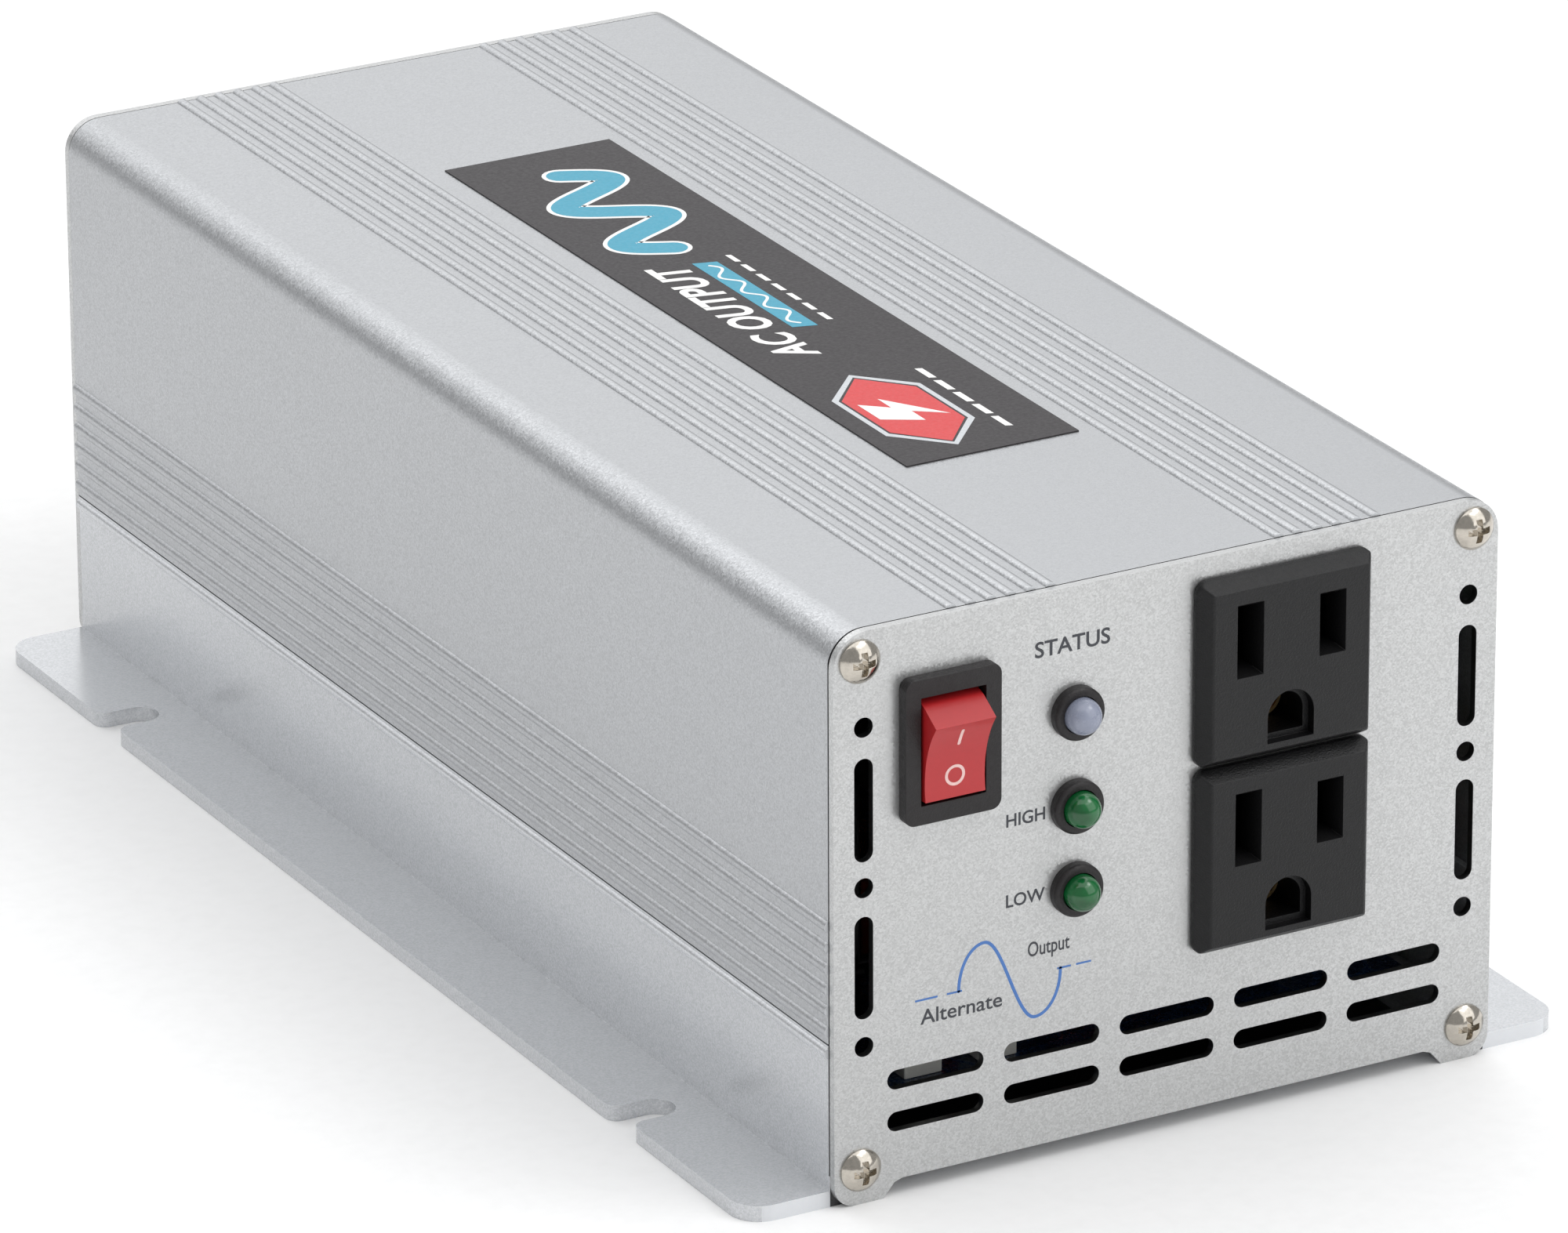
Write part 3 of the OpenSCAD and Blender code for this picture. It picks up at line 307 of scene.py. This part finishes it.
case_metal = blasted_aluminium("case_aluminium", ALUMINIUM)
panel_metal = blasted_aluminium("panel_aluminium", (0.55, 0.555, 0.555, 1.0))
# The chassis is the case aluminium made 1.34 times brighter: painted light, so that its flange looks lit; its
# gloss differs as well
chassis_painted_light_metal = blasted_aluminium("chassis_aluminium", toned(ALUMINIUM, 1.34), (0.2, 0.27),
                                  metallic=0.55, tilt=0.025)
end_shade_metal = painted_end_shade("painted_end_shade", ALUMINIUM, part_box("front_panel")[1].x, top_z)
# Dark grey metal for the walls of the holes in the panels, darker than the panels' face
dark_hole_metal = plain_metal("dark_hole_aluminium", (0.2, 0.2, 0.2, 1), (0.3, 0.4))
screw_metal = plain_metal("nickel", (0.56, 0.52, 0.46, 1), (0.1, 0.18), depth=0.002)
zinc = plain_metal("zinc_steel", (0.62, 0.62, 0.64, 1), (0.28, 0.42))
brass = plain_metal("brass", (0.62, 0.44, 0.19, 1), (0.3, 0.45))
plated = plain_metal("plated_brass", (0.83, 0.68, 0.40, 1), (0.16, 0.28))
shaft_steel = plain_metal("shaft_steel", (0.6, 0.6, 0.6, 1), (0.15, 0.25))
spreader = plain_metal("spreader_aluminium", (0.72, 0.73, 0.74, 1), (0.3, 0.42), stretch=(1, 0.05, 1))
black_nylon = moulded("black_nylon", rgb(18, 13, 15), (0.4, 0.56), grain=0.32, depth=0.03)
outlet_plastic = moulded("outlet_plastic", rgb(10, 10, 12), (0.38, 0.48), grain=0.3, depth=0.04,
                         Specular_IOR_Level=0.4)
# Painted shade: a darker, duller black for the walls inside the outlets' slots, where shade falls
socket_painted_shade = moulded("socket_painted_shade", rgb(8, 8, 9), (0.6, 0.7), Specular_IOR_Level=0.1)
rocker_red = moulded("rocker_red", rgb(184, 36, 40), (0.28, 0.36), grain=0.9, depth=0.003, spread=0.03,
                     Coat_Weight=0.2)
frosted = clear_lamp("frosted_lamp", rgb(142, 148, 167), rgb(152, 158, 177), (0.2, 0.3), 0.1)
green_glass = clear_lamp("green_lamp", rgb(12, 86, 42), rgb(20, 110, 56), (0.1, 0.14), 0.1)
label_film = moulded("label_film", rgb(44, 40, 43), (0.38, 0.5), grain=0.4, depth=0.008, spread=0.08,
                     Specular_IOR_Level=0.34)
film = moulded("insulating_film", rgb(16, 16, 18), (0.4, 0.5), grain=0.8, depth=0.01, spread=0.04)
silicone = moulded("pad_silicone", rgb(150, 156, 160), (0.6, 0.75), grain=0.5, spread=0.08)
epoxy = moulded("device_epoxy", rgb(34, 34, 36), (0.45, 0.6), grain=0.25, depth=0.015)
ferrite = moulded("ferrite", rgb(58, 58, 62), (0.4, 0.6), grain=0.35, depth=0.02)
coil_tape = moulded("coil_tape", rgb(222, 186, 60), (0.25, 0.36), grain=1.5, depth=0.02, spread=0.08)
powder_core = moulded("powder_core", rgb(196, 176, 60), (0.4, 0.55), grain=0.5, depth=0.02)
sleeve_dark = moulded("dark_sleeve", rgb(32, 42, 66), (0.22, 0.34), grain=2.0, depth=0.01, spread=0.1,
                      Coat_Weight=0.3)
film_box = moulded("film_box", rgb(180, 62, 44), (0.3, 0.42), grain=0.6, depth=0.01, spread=0.06)
fuse_plastic = moulded("fuse_plastic", rgb(226, 168, 44), (0.2, 0.3), grain=0.8, depth=0.008, spread=0.06)
white_nylon = moulded("white_nylon", rgb(232, 232, 226), (0.34, 0.48), grain=0.4, depth=0.012, spread=0.04)
fan_plastic = moulded("fan_plastic", rgb(34, 34, 36), (0.34, 0.46), grain=0.4, depth=0.012)
red_collar = moulded("red_collar", rgb(196, 34, 38), (0.3, 0.42), grain=0.4, depth=0.012, spread=0.06)
red_cable = moulded("red_cable", rgb(196, 30, 34), (0.36, 0.48), grain=0.9, depth=0.02, spread=0.08)
black_cable = moulded("black_cable", rgb(30, 30, 32), (0.36, 0.48), grain=0.9, depth=0.02)
copper = wound_wire("copper_wire", (0.72, 0.32, 0.16, 1), 0.9, "DIAGONAL")
laminate = board_laminate("board_laminate", rgb(22, 44, 78), rgb(34, 66, 108))
control_laminate = board_laminate("control_laminate", rgb(20, 74, 46), rgb(32, 104, 66))
ink_dark = printed("ink_dark", rgb(58, 60, 66))
ink_blue = printed("ink_blue", rgb(72, 118, 186))
ink_white = printed("ink_white", rgb(236, 236, 234))
ink_teal = printed("ink_teal", rgb(36, 150, 178), (0.3, 0.42))
ink_red = printed("ink_red", rgb(206, 36, 40), (0.3, 0.42))
ink_silver = printed("ink_silver", rgb(196, 200, 204), (0.25, 0.4))
ink_pink = printed("ink_pink", rgb(238, 200, 196), (0.35, 0.5))

NODE_FINISH = {
    case_metal: ("upper_shell",),
    panel_metal: ("front_panel", "rear_panel"),
    chassis_painted_light_metal: ("lower_chassis",),
    screw_metal: ("front_panel_screws", "rear_panel_screws", "fan_screws", "fan_nuts"),
    label_film: ("top_label",),
    black_nylon: ("switch_housing", "led_bezels", "terminal_collars_black"),
    rocker_red: ("switch_rocker",),
    brass: ("switch_terminals", "outlet_upper_contacts", "outlet_lower_contacts"),
    frosted: ("led_power",),
    green_glass: ("led_upper_status", "led_lower_status"),
    outlet_plastic: ("outlet_upper", "outlet_lower"),
    laminate: ("main_board",),
    zinc: ("board_standoffs", "board_screws", "mosfet_clamps", "clamp_screws", "ground_screw",
           "ground_washer"),
    film: ("insulating_sheet",),
    spreader: ("heat_spreader_left", "heat_spreader_right"),
    silicone: ("thermal_pads",),
    epoxy: ("mosfets_left", "mosfets_right", "control_chips"),
    ferrite: ("transformer_cores",),
    coil_tape: ("transformer_coils",),
    powder_core: ("inductor_cores",),
    copper: ("inductor_windings",),
    sleeve_dark: ("storage_capacitors", "input_capacitors"),
    film_box: ("film_capacitors",),
    control_laminate: ("control_board",),
    fuse_plastic: ("fuses",),
    white_nylon: ("wire_headers", "lamp_wires"),
    fan_plastic: ("fan_frame", "fan_rotor"),
    shaft_steel: ("fan_shaft",),
    red_collar: ("terminal_collars_red",),
    plated: ("terminal_studs", "washer_red", "washer_black", "nut_red", "nut_black"),
    red_cable: ("dc_cable_red", "fan_wires"),
    black_cable: ("dc_cable_black", "ac_wires", "switch_wires"),
}
for surface, names in NODE_FINISH.items():
    for name in names:
        for index in range(max(1, len(nodes[name].material_slots))):
            if not nodes[name].material_slots:
                nodes[name].data.materials.append(surface)
            nodes[name].material_slots[index].material = surface


# ---- Pieces with rounded edges, made from CAD nodes ----

# In mm: points nearer than this are one point
MERGE = 0.002
FLAT_ANGLE = math.radians(0.4)
SHARP_ANGLE = math.radians(32)
SMOOTH_ANGLE = math.radians(50)
FACE_WEIGHT = 60
NARROW_STEPS, WIDE_STEPS = 2, 4


def sharp_edges(work):
    return [e for e in work.edges if len(e.link_faces) == 2 and e.calc_face_angle(0.0) > SHARP_ANGLE]


def outer_edge(edge, low, high, margin):
    """Whether an edge lies along the outline, seen from the front, of the box from low to high.

    With no margin it is whether the edge runs the length of the object, as an extrusion's do."""
    if not margin:
        way = edge.verts[1].co - edge.verts[0].co
        return abs(way.y) > 0.9 * way.length
    spot = (edge.verts[0].co + edge.verts[1].co) / 2
    return any(min(spot[i] - low[i], high[i] - spot[i]) < margin * MM for i in (0, 2))


def rounded(node, radius, wide=None, margin=0.0):
    """Stands for a CAD node with its sharp edges broken by a small radius, in mm, as real edges are.

    Where wide is given, edges within margin of the outline are broken by that radius instead."""
    mesh = nodes[node].data.copy()
    mesh.name = node + "_rounded"
    work = bmesh.new()
    work.from_mesh(mesh)
    bmesh.ops.remove_doubles(work, verts=work.verts, dist=MERGE * MM)
    bmesh.ops.dissolve_limit(work, angle_limit=FLAT_ANGLE, verts=work.verts, edges=work.edges)
    low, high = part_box(node)
    sharp = sharp_edges(work)
    outer = [e for e in sharp if wide and outer_edge(e, low, high, margin)]
    inner = [e for e in sharp if e not in set(outer)]
    for group, offset, steps in ((inner, radius, NARROW_STEPS), (outer, wide, WIDE_STEPS)):
        if group:
            group = [e for e in group if e.is_valid]
            bmesh.ops.bevel(work, geom=group, offset=offset * MM, offset_type="OFFSET", segments=steps,
                            profile=0.5, affect="EDGES", clamp_overlap=True, loop_slide=True)
    for face in work.faces:
        face.smooth = True
    work.to_mesh(mesh)
    work.free()
    for attribute in ("custom_normal", "sharp_edge", "sharp_face"):
        if attribute in mesh.attributes:
            mesh.attributes.remove(mesh.attributes[attribute])
    piece = bpy.data.objects.new(node + "_body", mesh)
    scene.collection.objects.link(piece)
    mesh.set_sharp_from_angle(angle=SMOOTH_ANGLE)
    weighted = piece.modifiers.new("shading", "WEIGHTED_NORMAL")
    weighted.keep_sharp = True
    weighted.weight = FACE_WEIGHT
    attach(piece, nodes[node]["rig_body"])
    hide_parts(node)
    return piece


# The radius of each piece's broken edges, in mm
ROUNDED = {
    "upper_shell": 0.04, "lower_chassis": 0.12, "front_panel": 0.18, "rear_panel": 0.18,
    "front_panel_screws": 0.1, "rear_panel_screws": 0.1, "switch_housing": 0.2, "switch_rocker": 0.3,
    "outlet_upper": 0.12, "outlet_lower": 0.12, "top_label": 0.05, "main_board": 0.1, "wire_headers": 0.2,
    "heat_spreader_left": 0.2, "heat_spreader_right": 0.2, "transformer_cores": 0.4,
    "transformer_coils": 0.5,
    "film_capacitors": 0.4, "fuses": 0.3, "fan_frame": 0.3, "terminal_collars_red": 0.4,
    "terminal_collars_black": 0.4, "washer_red": 0.15, "washer_black": 0.15, "nut_red": 0.2, "nut_black": 0.2,
    "terminal_studs": 0.25, "fan_screws": 0.1, "fan_nuts": 0.15, "ground_screw": 0.1, "ground_washer": 0.1,
}
# The radius along a piece's outline, and how near the outline an edge lies
WIDE = {"outlet_upper": (0.4, 1.7), "outlet_lower": (0.4, 1.7), "switch_housing": (0.45, 1.2),
        "upper_shell": (0.1, 0.0)}
pieces = {node: rounded(node, radius, *WIDE.get(node, ())) for node, radius in ROUNDED.items()}
# In mm: how far inside the outline a piece's holes start, and how near the panels an end face with painted
# shade lies
PANEL_RIM, OUTLET_RIM = 2.0, 3.5
END_DEPTH = 0.5


def hole_walls(node, rim, finish):
    """Gives a separate, darker finish to the walls of the holes in a piece's face, rim mm or more from its
    outline.
    """
    low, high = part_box(node)
    piece = pieces[node]
    piece.data.materials.append(finish)
    for polygon in piece.data.polygons:
        spot = polygon.center
        inside = min(spot.x - low.x, high.x - spot.x, spot.z - low.z, high.z - spot.z) > rim * MM
        if inside and abs(polygon.normal.y) < 0.5:
            polygon.material_index = 1


def paint_end_shade(piece):
    """Gives the end faces of an extrusion, which lie just behind the panels, painted shade for the dark gap
    there.
    """
    piece.data.materials.append(end_shade_metal)
    near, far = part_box("front_panel")[1].y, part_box("rear_panel")[0].y
    for polygon in piece.data.polygons:
        reach = min(abs(polygon.center.y - near), abs(polygon.center.y - far))
        if reach < END_DEPTH * MM and abs(polygon.normal.y) > 0.5:
            polygon.material_index = 1


for panel in ("front_panel", "rear_panel"):
    hole_walls(panel, PANEL_RIM, dark_hole_metal)
for outlet in ("outlet_upper", "outlet_lower"):
    hole_walls(outlet, OUTLET_RIM, socket_painted_shade)
paint_end_shade(pieces["upper_shell"])
paint_end_shade(pieces["lower_chassis"])


# ---- Flat prints: ink laid on a face as thin shapes ----


class Plane:
    """A printed face: an origin, the directions across and up it, and the body that it is part of."""

    def __init__(self, origin, across, up, body="case"):
        self.origin, self.across, self.up = Vector(origin), Vector(across), Vector(up)
        self.out = self.across.cross(self.up)
        self.body = body

    def matrix(self, a=0.0, b=0.0, lift=0.0):
        spot = self.origin + (self.across * a + self.up * b + self.out * lift) * MM
        turn = Matrix((self.across, self.up, self.out)).transposed().to_4x4()
        return Matrix.Translation(spot) @ turn


# The thickness of a layer of ink, in mm, and how many layers up its middle lies, a little low so that
# it sinks in
INK = 0.02
INK_MIDDLE = 0.4
# The height of capitals as a share of the font's size
CAPITALS = 0.7


def settle(curve, name, plane, matrix, material):
    """Turns a flat curve, in mm, into a mesh piece lying on a plane."""
    holder = bpy.data.objects.new(name + "_curve", curve)
    scene.collection.objects.link(holder)
    mesh = bpy.data.meshes.new_from_object(holder.evaluated_get(bpy.context.evaluated_depsgraph_get()))
    bpy.data.objects.remove(holder)
    mesh.transform(matrix @ Matrix.Scale(MM, 4))
    mesh.name = name
    mesh.materials.clear()
    mesh.materials.append(material)
    piece = bpy.data.objects.new(name, mesh)
    scene.collection.objects.link(piece)
    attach(piece, plane.body)
    return piece


def shape(name, loops, plane, material, layer=0):
    """Inks closed outlines, in mm on the plane; an outline inside another is a hole."""
    curve = bpy.data.curves.new(name, "CURVE")
    curve.dimensions = "2D"
    curve.fill_mode = "BOTH"
    curve.extrude = INK / 2
    for loop in loops:
        spline = curve.splines.new("POLY")
        spline.points.add(len(loop) - 1)
        for point, (a, b) in zip(spline.points, loop):
            point.co = (a, b, 0, 1)
        spline.use_cyclic_u = True
    return settle(curve, name, plane, plane.matrix(lift=INK * (layer + INK_MIDDLE)), material)


def lettering(name, words, plane, a, b, height, width, weight, material, slant=0.0):
    """Generic words: a and b are the middle, and height is the capitals', in mm."""
    curve = bpy.data.curves.new(name, "FONT")
    curve.body = words
    curve.size = height / CAPITALS
    curve.extrude = INK / 2
    curve.shear = slant
    curve.offset = weight
    curve.resolution_u = 4
    piece = settle(curve, name, plane, Matrix.Identity(4), material)
    low = [min(v.co[i] for v in piece.data.vertices) for i in (0, 1)]
    high = [max(v.co[i] for v in piece.data.vertices) for i in (0, 1)]
    middle = Vector(((low[0] + high[0]) / 2, (low[1] + high[1]) / 2, 0))
    stretch = Matrix.Diagonal((width * MM / (high[0] - low[0]), 1, 1, 1))
    piece.data.transform(plane.matrix(a, b, INK * INK_MIDDLE) @ stretch @ Matrix.Translation(-middle))


def ring(a, b, radius_a, radius_b, steps):
    """An ellipse of that many sides."""
    turns = [2 * math.pi * i / steps for i in range(steps)]
    return [(a + radius_a * math.cos(t), b + radius_b * math.sin(t)) for t in turns]


def bar(a0, b0, a1, b1, lean=0.0):
    return [(a0, b0), (a1, b0), (a1 + lean, b1), (a0 + lean, b1)]


def bars(count, first, pitch, length, b0, b1, lean):
    """A row of leaning bars."""
    return [bar(first + pitch * i, b0, first + pitch * i + length, b1, lean) for i in range(count)]


def stroke(points, width, steps=10):
    """Outline of a line of that width through the points, with round ends."""
    points = [Vector(p) for p in points]
    last = len(points) - 1
    ways = [(points[min(i + 1, last)] - points[max(i - 1, 0)]).normalized() for i in range(last + 1)]
    sides = [Vector((-w.y, w.x)) * width / 2 for w in ways]

    def cap(centre, side, way):
        angle = [math.pi * i / steps for i in range(1, steps)]
        return [centre + side * math.cos(t) + way * math.sin(t) * width / 2 for t in angle]

    outline = [p + s for p, s in zip(points, sides)] + cap(points[-1], sides[-1], ways[-1])
    outline += [p - s for p, s in zip(reversed(points), reversed(sides))]
    outline += cap(points[0], -sides[0], -ways[0])
    return [tuple(p) for p in outline]


def wave_line(a0, a1, b, height, periods, steps):
    return [(a0 + (a1 - a0) * i / steps, b + height * math.sin(2 * math.pi * periods * i / steps))
            for i in range(steps + 1)]


def arch_line(a0, a1, b, height, steps=32):
    """One full wave: an elliptical rise, a sine down through the middle and an elliptical rise back."""
    quarter = (a1 - a0) / 4
    turns = [math.pi / 2 * i / steps for i in range(steps + 1)]
    rise = [(a0 + quarter * (1 - math.cos(t)), b + height * math.sin(t)) for t in turns]
    fall = [(a0 + quarter * (1 + 2 * i / steps), b + height * math.cos(math.pi * i / steps))
            for i in range(1, steps)]
    back = [(a1 - quarter * (1 - math.cos(t)), b - height * math.sin(t)) for t in reversed(turns)]
    return rise + fall + back


# Front panel: across is +X and up is +Z
face = Plane((0, front_y, 0), (1, 0, 0), (0, 0, 1))
WAVE_INK, WAVE_LEVEL = 0.46, 27.4
AXIS_LOW, AXIS_HIGH = 27.27, 27.55
AXIS_DASHES = ((-38.6, -35.2), (-33.8, -31.5), (-17.0, -14.9), (-14.1, -11.8))


def panel_word(name, words, a, b, height, width, weight):
    lettering(name, words, face, a, b, height, width, weight, ink_dark)


def panel_shape(name, loops):
    shape(name, loops, face, ink_blue)


panel_word("print_lamp_word", "STATUS", -14.9, 73.5, 2.2, 11.4, 0.05)
panel_word("print_upper_mark", "HIGH", -21.9, 50.2, 1.8, 5.9, 0.04)
panel_word("print_lower_mark", "LOW", -21.9, 38.7, 1.8, 5.9, 0.04)
panel_shape("print_wave", [stroke(arch_line(-32.0, -16.5, WAVE_LEVEL, 6.2), WAVE_INK)])
panel_shape("print_axis", [bar(start, AXIS_LOW, end, AXIS_HIGH) for start, end in AXIS_DASHES])
panel_word("print_output_word", "Output", -18.3, 30.7, 2.1, 6.4, 0.03)
panel_word("print_current_word", "Alternate", -31.6, 24.9, 2.1, 12.4, 0.03)

# Top label: across runs from its front end to the rear, and up is towards -X
label_low, label_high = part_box("top_label")
tag = Plane(((label_low.x + label_high.x) / 2, label_low.y, label_high.z), (0, 1, 0), (-1, 0, 0))
EMBLEM_A, EMBLEM_B = 18.5, 3.4
BOLT = [(-1.2, 4.6), (3.0, 4.6), (0.9, 1.1), (3.4, 1.1), (-2.9, -4.9), (-0.7, -0.7), (-3.3, -0.7)]
BOLT_STRETCH = 1.5
BIG_WAVE = wave_line(89.5, 123.5, 0.2, 5.8, 2, 128)
BIG_WAVE_INK, BIG_WAVE_EDGE = 4.1, 5.4


def label_shape(name, loops, ink, layer=0):
    shape(name, loops, tag, ink, layer)


def hexagon(radius_a, radius_b):
    return ring(EMBLEM_A, EMBLEM_B, radius_a, radius_b, 6)


label_shape("label_emblem_rim", [hexagon(15.0, 8.0), hexagon(13.9, 7.1)], ink_silver)
label_shape("label_emblem", [hexagon(13.4, 6.7)], ink_red)
bolt = [(EMBLEM_A + BOLT_STRETCH * a, EMBLEM_B + b) for a, b in BOLT]
label_shape("label_emblem_bolt", [bolt], ink_white, 1)
label_shape("label_rule_front", bars(5, 6.0, 5.2, 4.0, -6.6, -5.6, 0.4), ink_white)
lettering("label_words", "AC OUTPUT", tag, 63.0, 5.4, 5.4, 41.0, 0.22, ink_white, slant=0.25)
label_shape("label_stripe", [bar(52.5, -2.4, 81.5, 1.1, 1.0)], ink_teal)
label_shape("label_stripe_wave", [stroke(wave_line(54.5, 80.5, -0.65, 1.0, 4, 96), 0.45)], ink_white, 1)
label_shape("label_rule_rear", bars(7, 53.5, 4.4, 3.0, -5.4, -4.6, 0.3), ink_white)
label_shape("label_big_wave_edge", [stroke(BIG_WAVE, BIG_WAVE_EDGE)], ink_white)
label_shape("label_big_wave", [stroke(BIG_WAVE, BIG_WAVE_INK)], ink_teal, 1)

# Switch marks, wrapped on the rocker's hollow face
rocker_low, rocker_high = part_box("switch_rocker")
rocker_middle = (rocker_low + rocker_high) / 2
rocker_shell = BVHTree.FromObject(pieces["switch_rocker"], bpy.context.evaluated_depsgraph_get())
# In mm: how far in front the flat marks are made, and the edge length above which they are cut finer
PRINT_GAP, PRINT_STEP = 4, 0.3
MARK_WELD = 0.001
# How far the marks stand out of the rocker, as a share of the ink's thickness
INK_PROUD = 0.6
CIRCLE_STEPS = 48


def wrapped(name, loops):
    """Ink on the rocker: the flat shape is cut fine and dropped on the rocker's face."""
    plane = Plane((rocker_middle.x, rocker_low.y - PRINT_GAP * MM, rocker_middle.z), (1, 0, 0), (0, 0, 1),
                  "rocker")
    piece = shape(name, loops, plane, ink_pink)
    work = bmesh.new()
    work.from_mesh(piece.data)
    bmesh.ops.remove_doubles(work, verts=work.verts, dist=MARK_WELD * MM)
    bmesh.ops.triangulate(work, faces=work.faces)
    long_edges = [e for e in work.edges if e.calc_length() > PRINT_STEP * MM]
    bmesh.ops.subdivide_edges(work, edges=long_edges, cuts=2, use_grid_fill=True)
    for vertex in work.verts:
        above = plane.origin.y - vertex.co.y
        start = Vector((vertex.co.x, plane.origin.y - MM, vertex.co.z))
        hit = rocker_shell.ray_cast(start, Vector((0, 1, 0)))[0]
        if hit:
            vertex.co.y = hit.y - above - INK * INK_PROUD * MM
    work.to_mesh(piece.data)
    work.free()


wrapped("rocker_mark_on", [stroke([(0, 0.95), (0, 3.15)], 0.45)])
wrapped("rocker_mark_off", [ring(0, -3.85, radius, radius, CIRCLE_STEPS) for radius in (1.5, 1.08)])


# ---- Stage, light and camera ----

# Half the width of the floor, in m
FLOOR = 4.0
floor_mesh = bpy.data.meshes.new("floor")
floor_corners = [(-FLOOR, -FLOOR, 0), (FLOOR, -FLOOR, 0), (FLOOR, FLOOR, 0), (-FLOOR, FLOOR, 0)]
floor_mesh.from_pydata(floor_corners, [], [(0, 1, 2, 3)])
floor = bpy.data.objects.new("floor", floor_mesh)
scene.collection.objects.link(floor)
floor_paint = Finish("floor_paper", (0.75, 0.85), 0.0, Specular_IOR_Level=0.2)
floor_paint.colour(floor_paint.mix(floor_paint.noise(3.0), rgb(247, 247, 247), rgb(250, 250, 250)))
floor_mesh.materials.append(floor_paint.material)

# The studio is brightest behind and above the object. WALL_EDGE is how squarely a direction has to
# point at WALL_WAY to start and to finish brightening, as a cosine.
WALL_WAY = Vector((0.05, 0.85, 0.5))
WALL_EDGE = (0.78, 0.93)
WALL_LIGHT = (0.42, 1.3)
world = bpy.data.worlds.new("studio")
scene.world = world
world.use_nodes = True
sky = world.node_tree.nodes["Background"]
sky.inputs["Color"].default_value = (0.99, 0.995, 1.0, 1.0)
way = world.node_tree.nodes.new("ShaderNodeTexCoord")
toward = world.node_tree.nodes.new("ShaderNodeVectorMath")
toward.operation = "DOT_PRODUCT"
toward.inputs[1].default_value = WALL_WAY.normalized()
shade = world.node_tree.nodes.new("ShaderNodeMapRange")
shade.interpolation_type = "SMOOTHSTEP"
for key, number in zip(RANGE_SOCKETS, WALL_EDGE + WALL_LIGHT):
    shade.inputs[key].default_value = number
world.node_tree.links.new(way.outputs["Generated"], toward.inputs[0])
world.node_tree.links.new(toward.outputs["Value"], shade.inputs["Value"])
world.node_tree.links.new(shade.outputs["Result"], sky.inputs["Strength"])

middle = (cad_low + cad_high) / 2


def softbox(name, spot, size, power):
    """A square light at spot, in m, aimed at the object."""
    lamp = bpy.data.lights.new(name, "AREA")
    lamp.shape = "SQUARE"
    lamp.size = size
    lamp.energy = power
    holder = bpy.data.objects.new(name, lamp)
    scene.collection.objects.link(holder)
    holder.location = spot
    holder.rotation_mode = "QUATERNION"
    holder.rotation_quaternion = (middle - holder.location).to_track_quat("-Z", "Y")


softbox("key_box", (0.7, -1.1, 0.9), 1.5, 8.3)
softbox("top_box", (0.05, 0.1, 1.3), 2.2, 16.0)
softbox("front_box", (0.6, -0.5, 1.1), 0.4, 1.6)

AZIMUTH, ELEVATION, ROLL = math.radians(-28.9816), math.radians(22.2009), math.radians(-0.277)
DISTANCE = 1.43171
AIM = Vector((-0.0579845, front_y, 0.0859267))
SENSOR, LENS = 36.0, 255.875
NEAREST = 0.05
back = Vector((math.sin(AZIMUTH) * math.cos(ELEVATION), -math.cos(AZIMUTH) * math.cos(ELEVATION),
               math.sin(ELEVATION)))
camera_data = bpy.data.cameras.new("camera")
camera_data.sensor_width = SENSOR
camera_data.lens = LENS
camera_data.clip_start = NEAREST
camera = bpy.data.objects.new("camera", camera_data)
scene.collection.objects.link(camera)
camera.location = AIM + back * DISTANCE
camera.rotation_mode = "QUATERNION"
roll = Matrix.Rotation(ROLL, 3, "Z").to_quaternion()
camera.rotation_quaternion = (-back).to_track_quat("-Z", "Y") @ roll
scene.camera = camera

scene.view_settings.view_transform = "Standard"
scene.view_settings.look = "None"
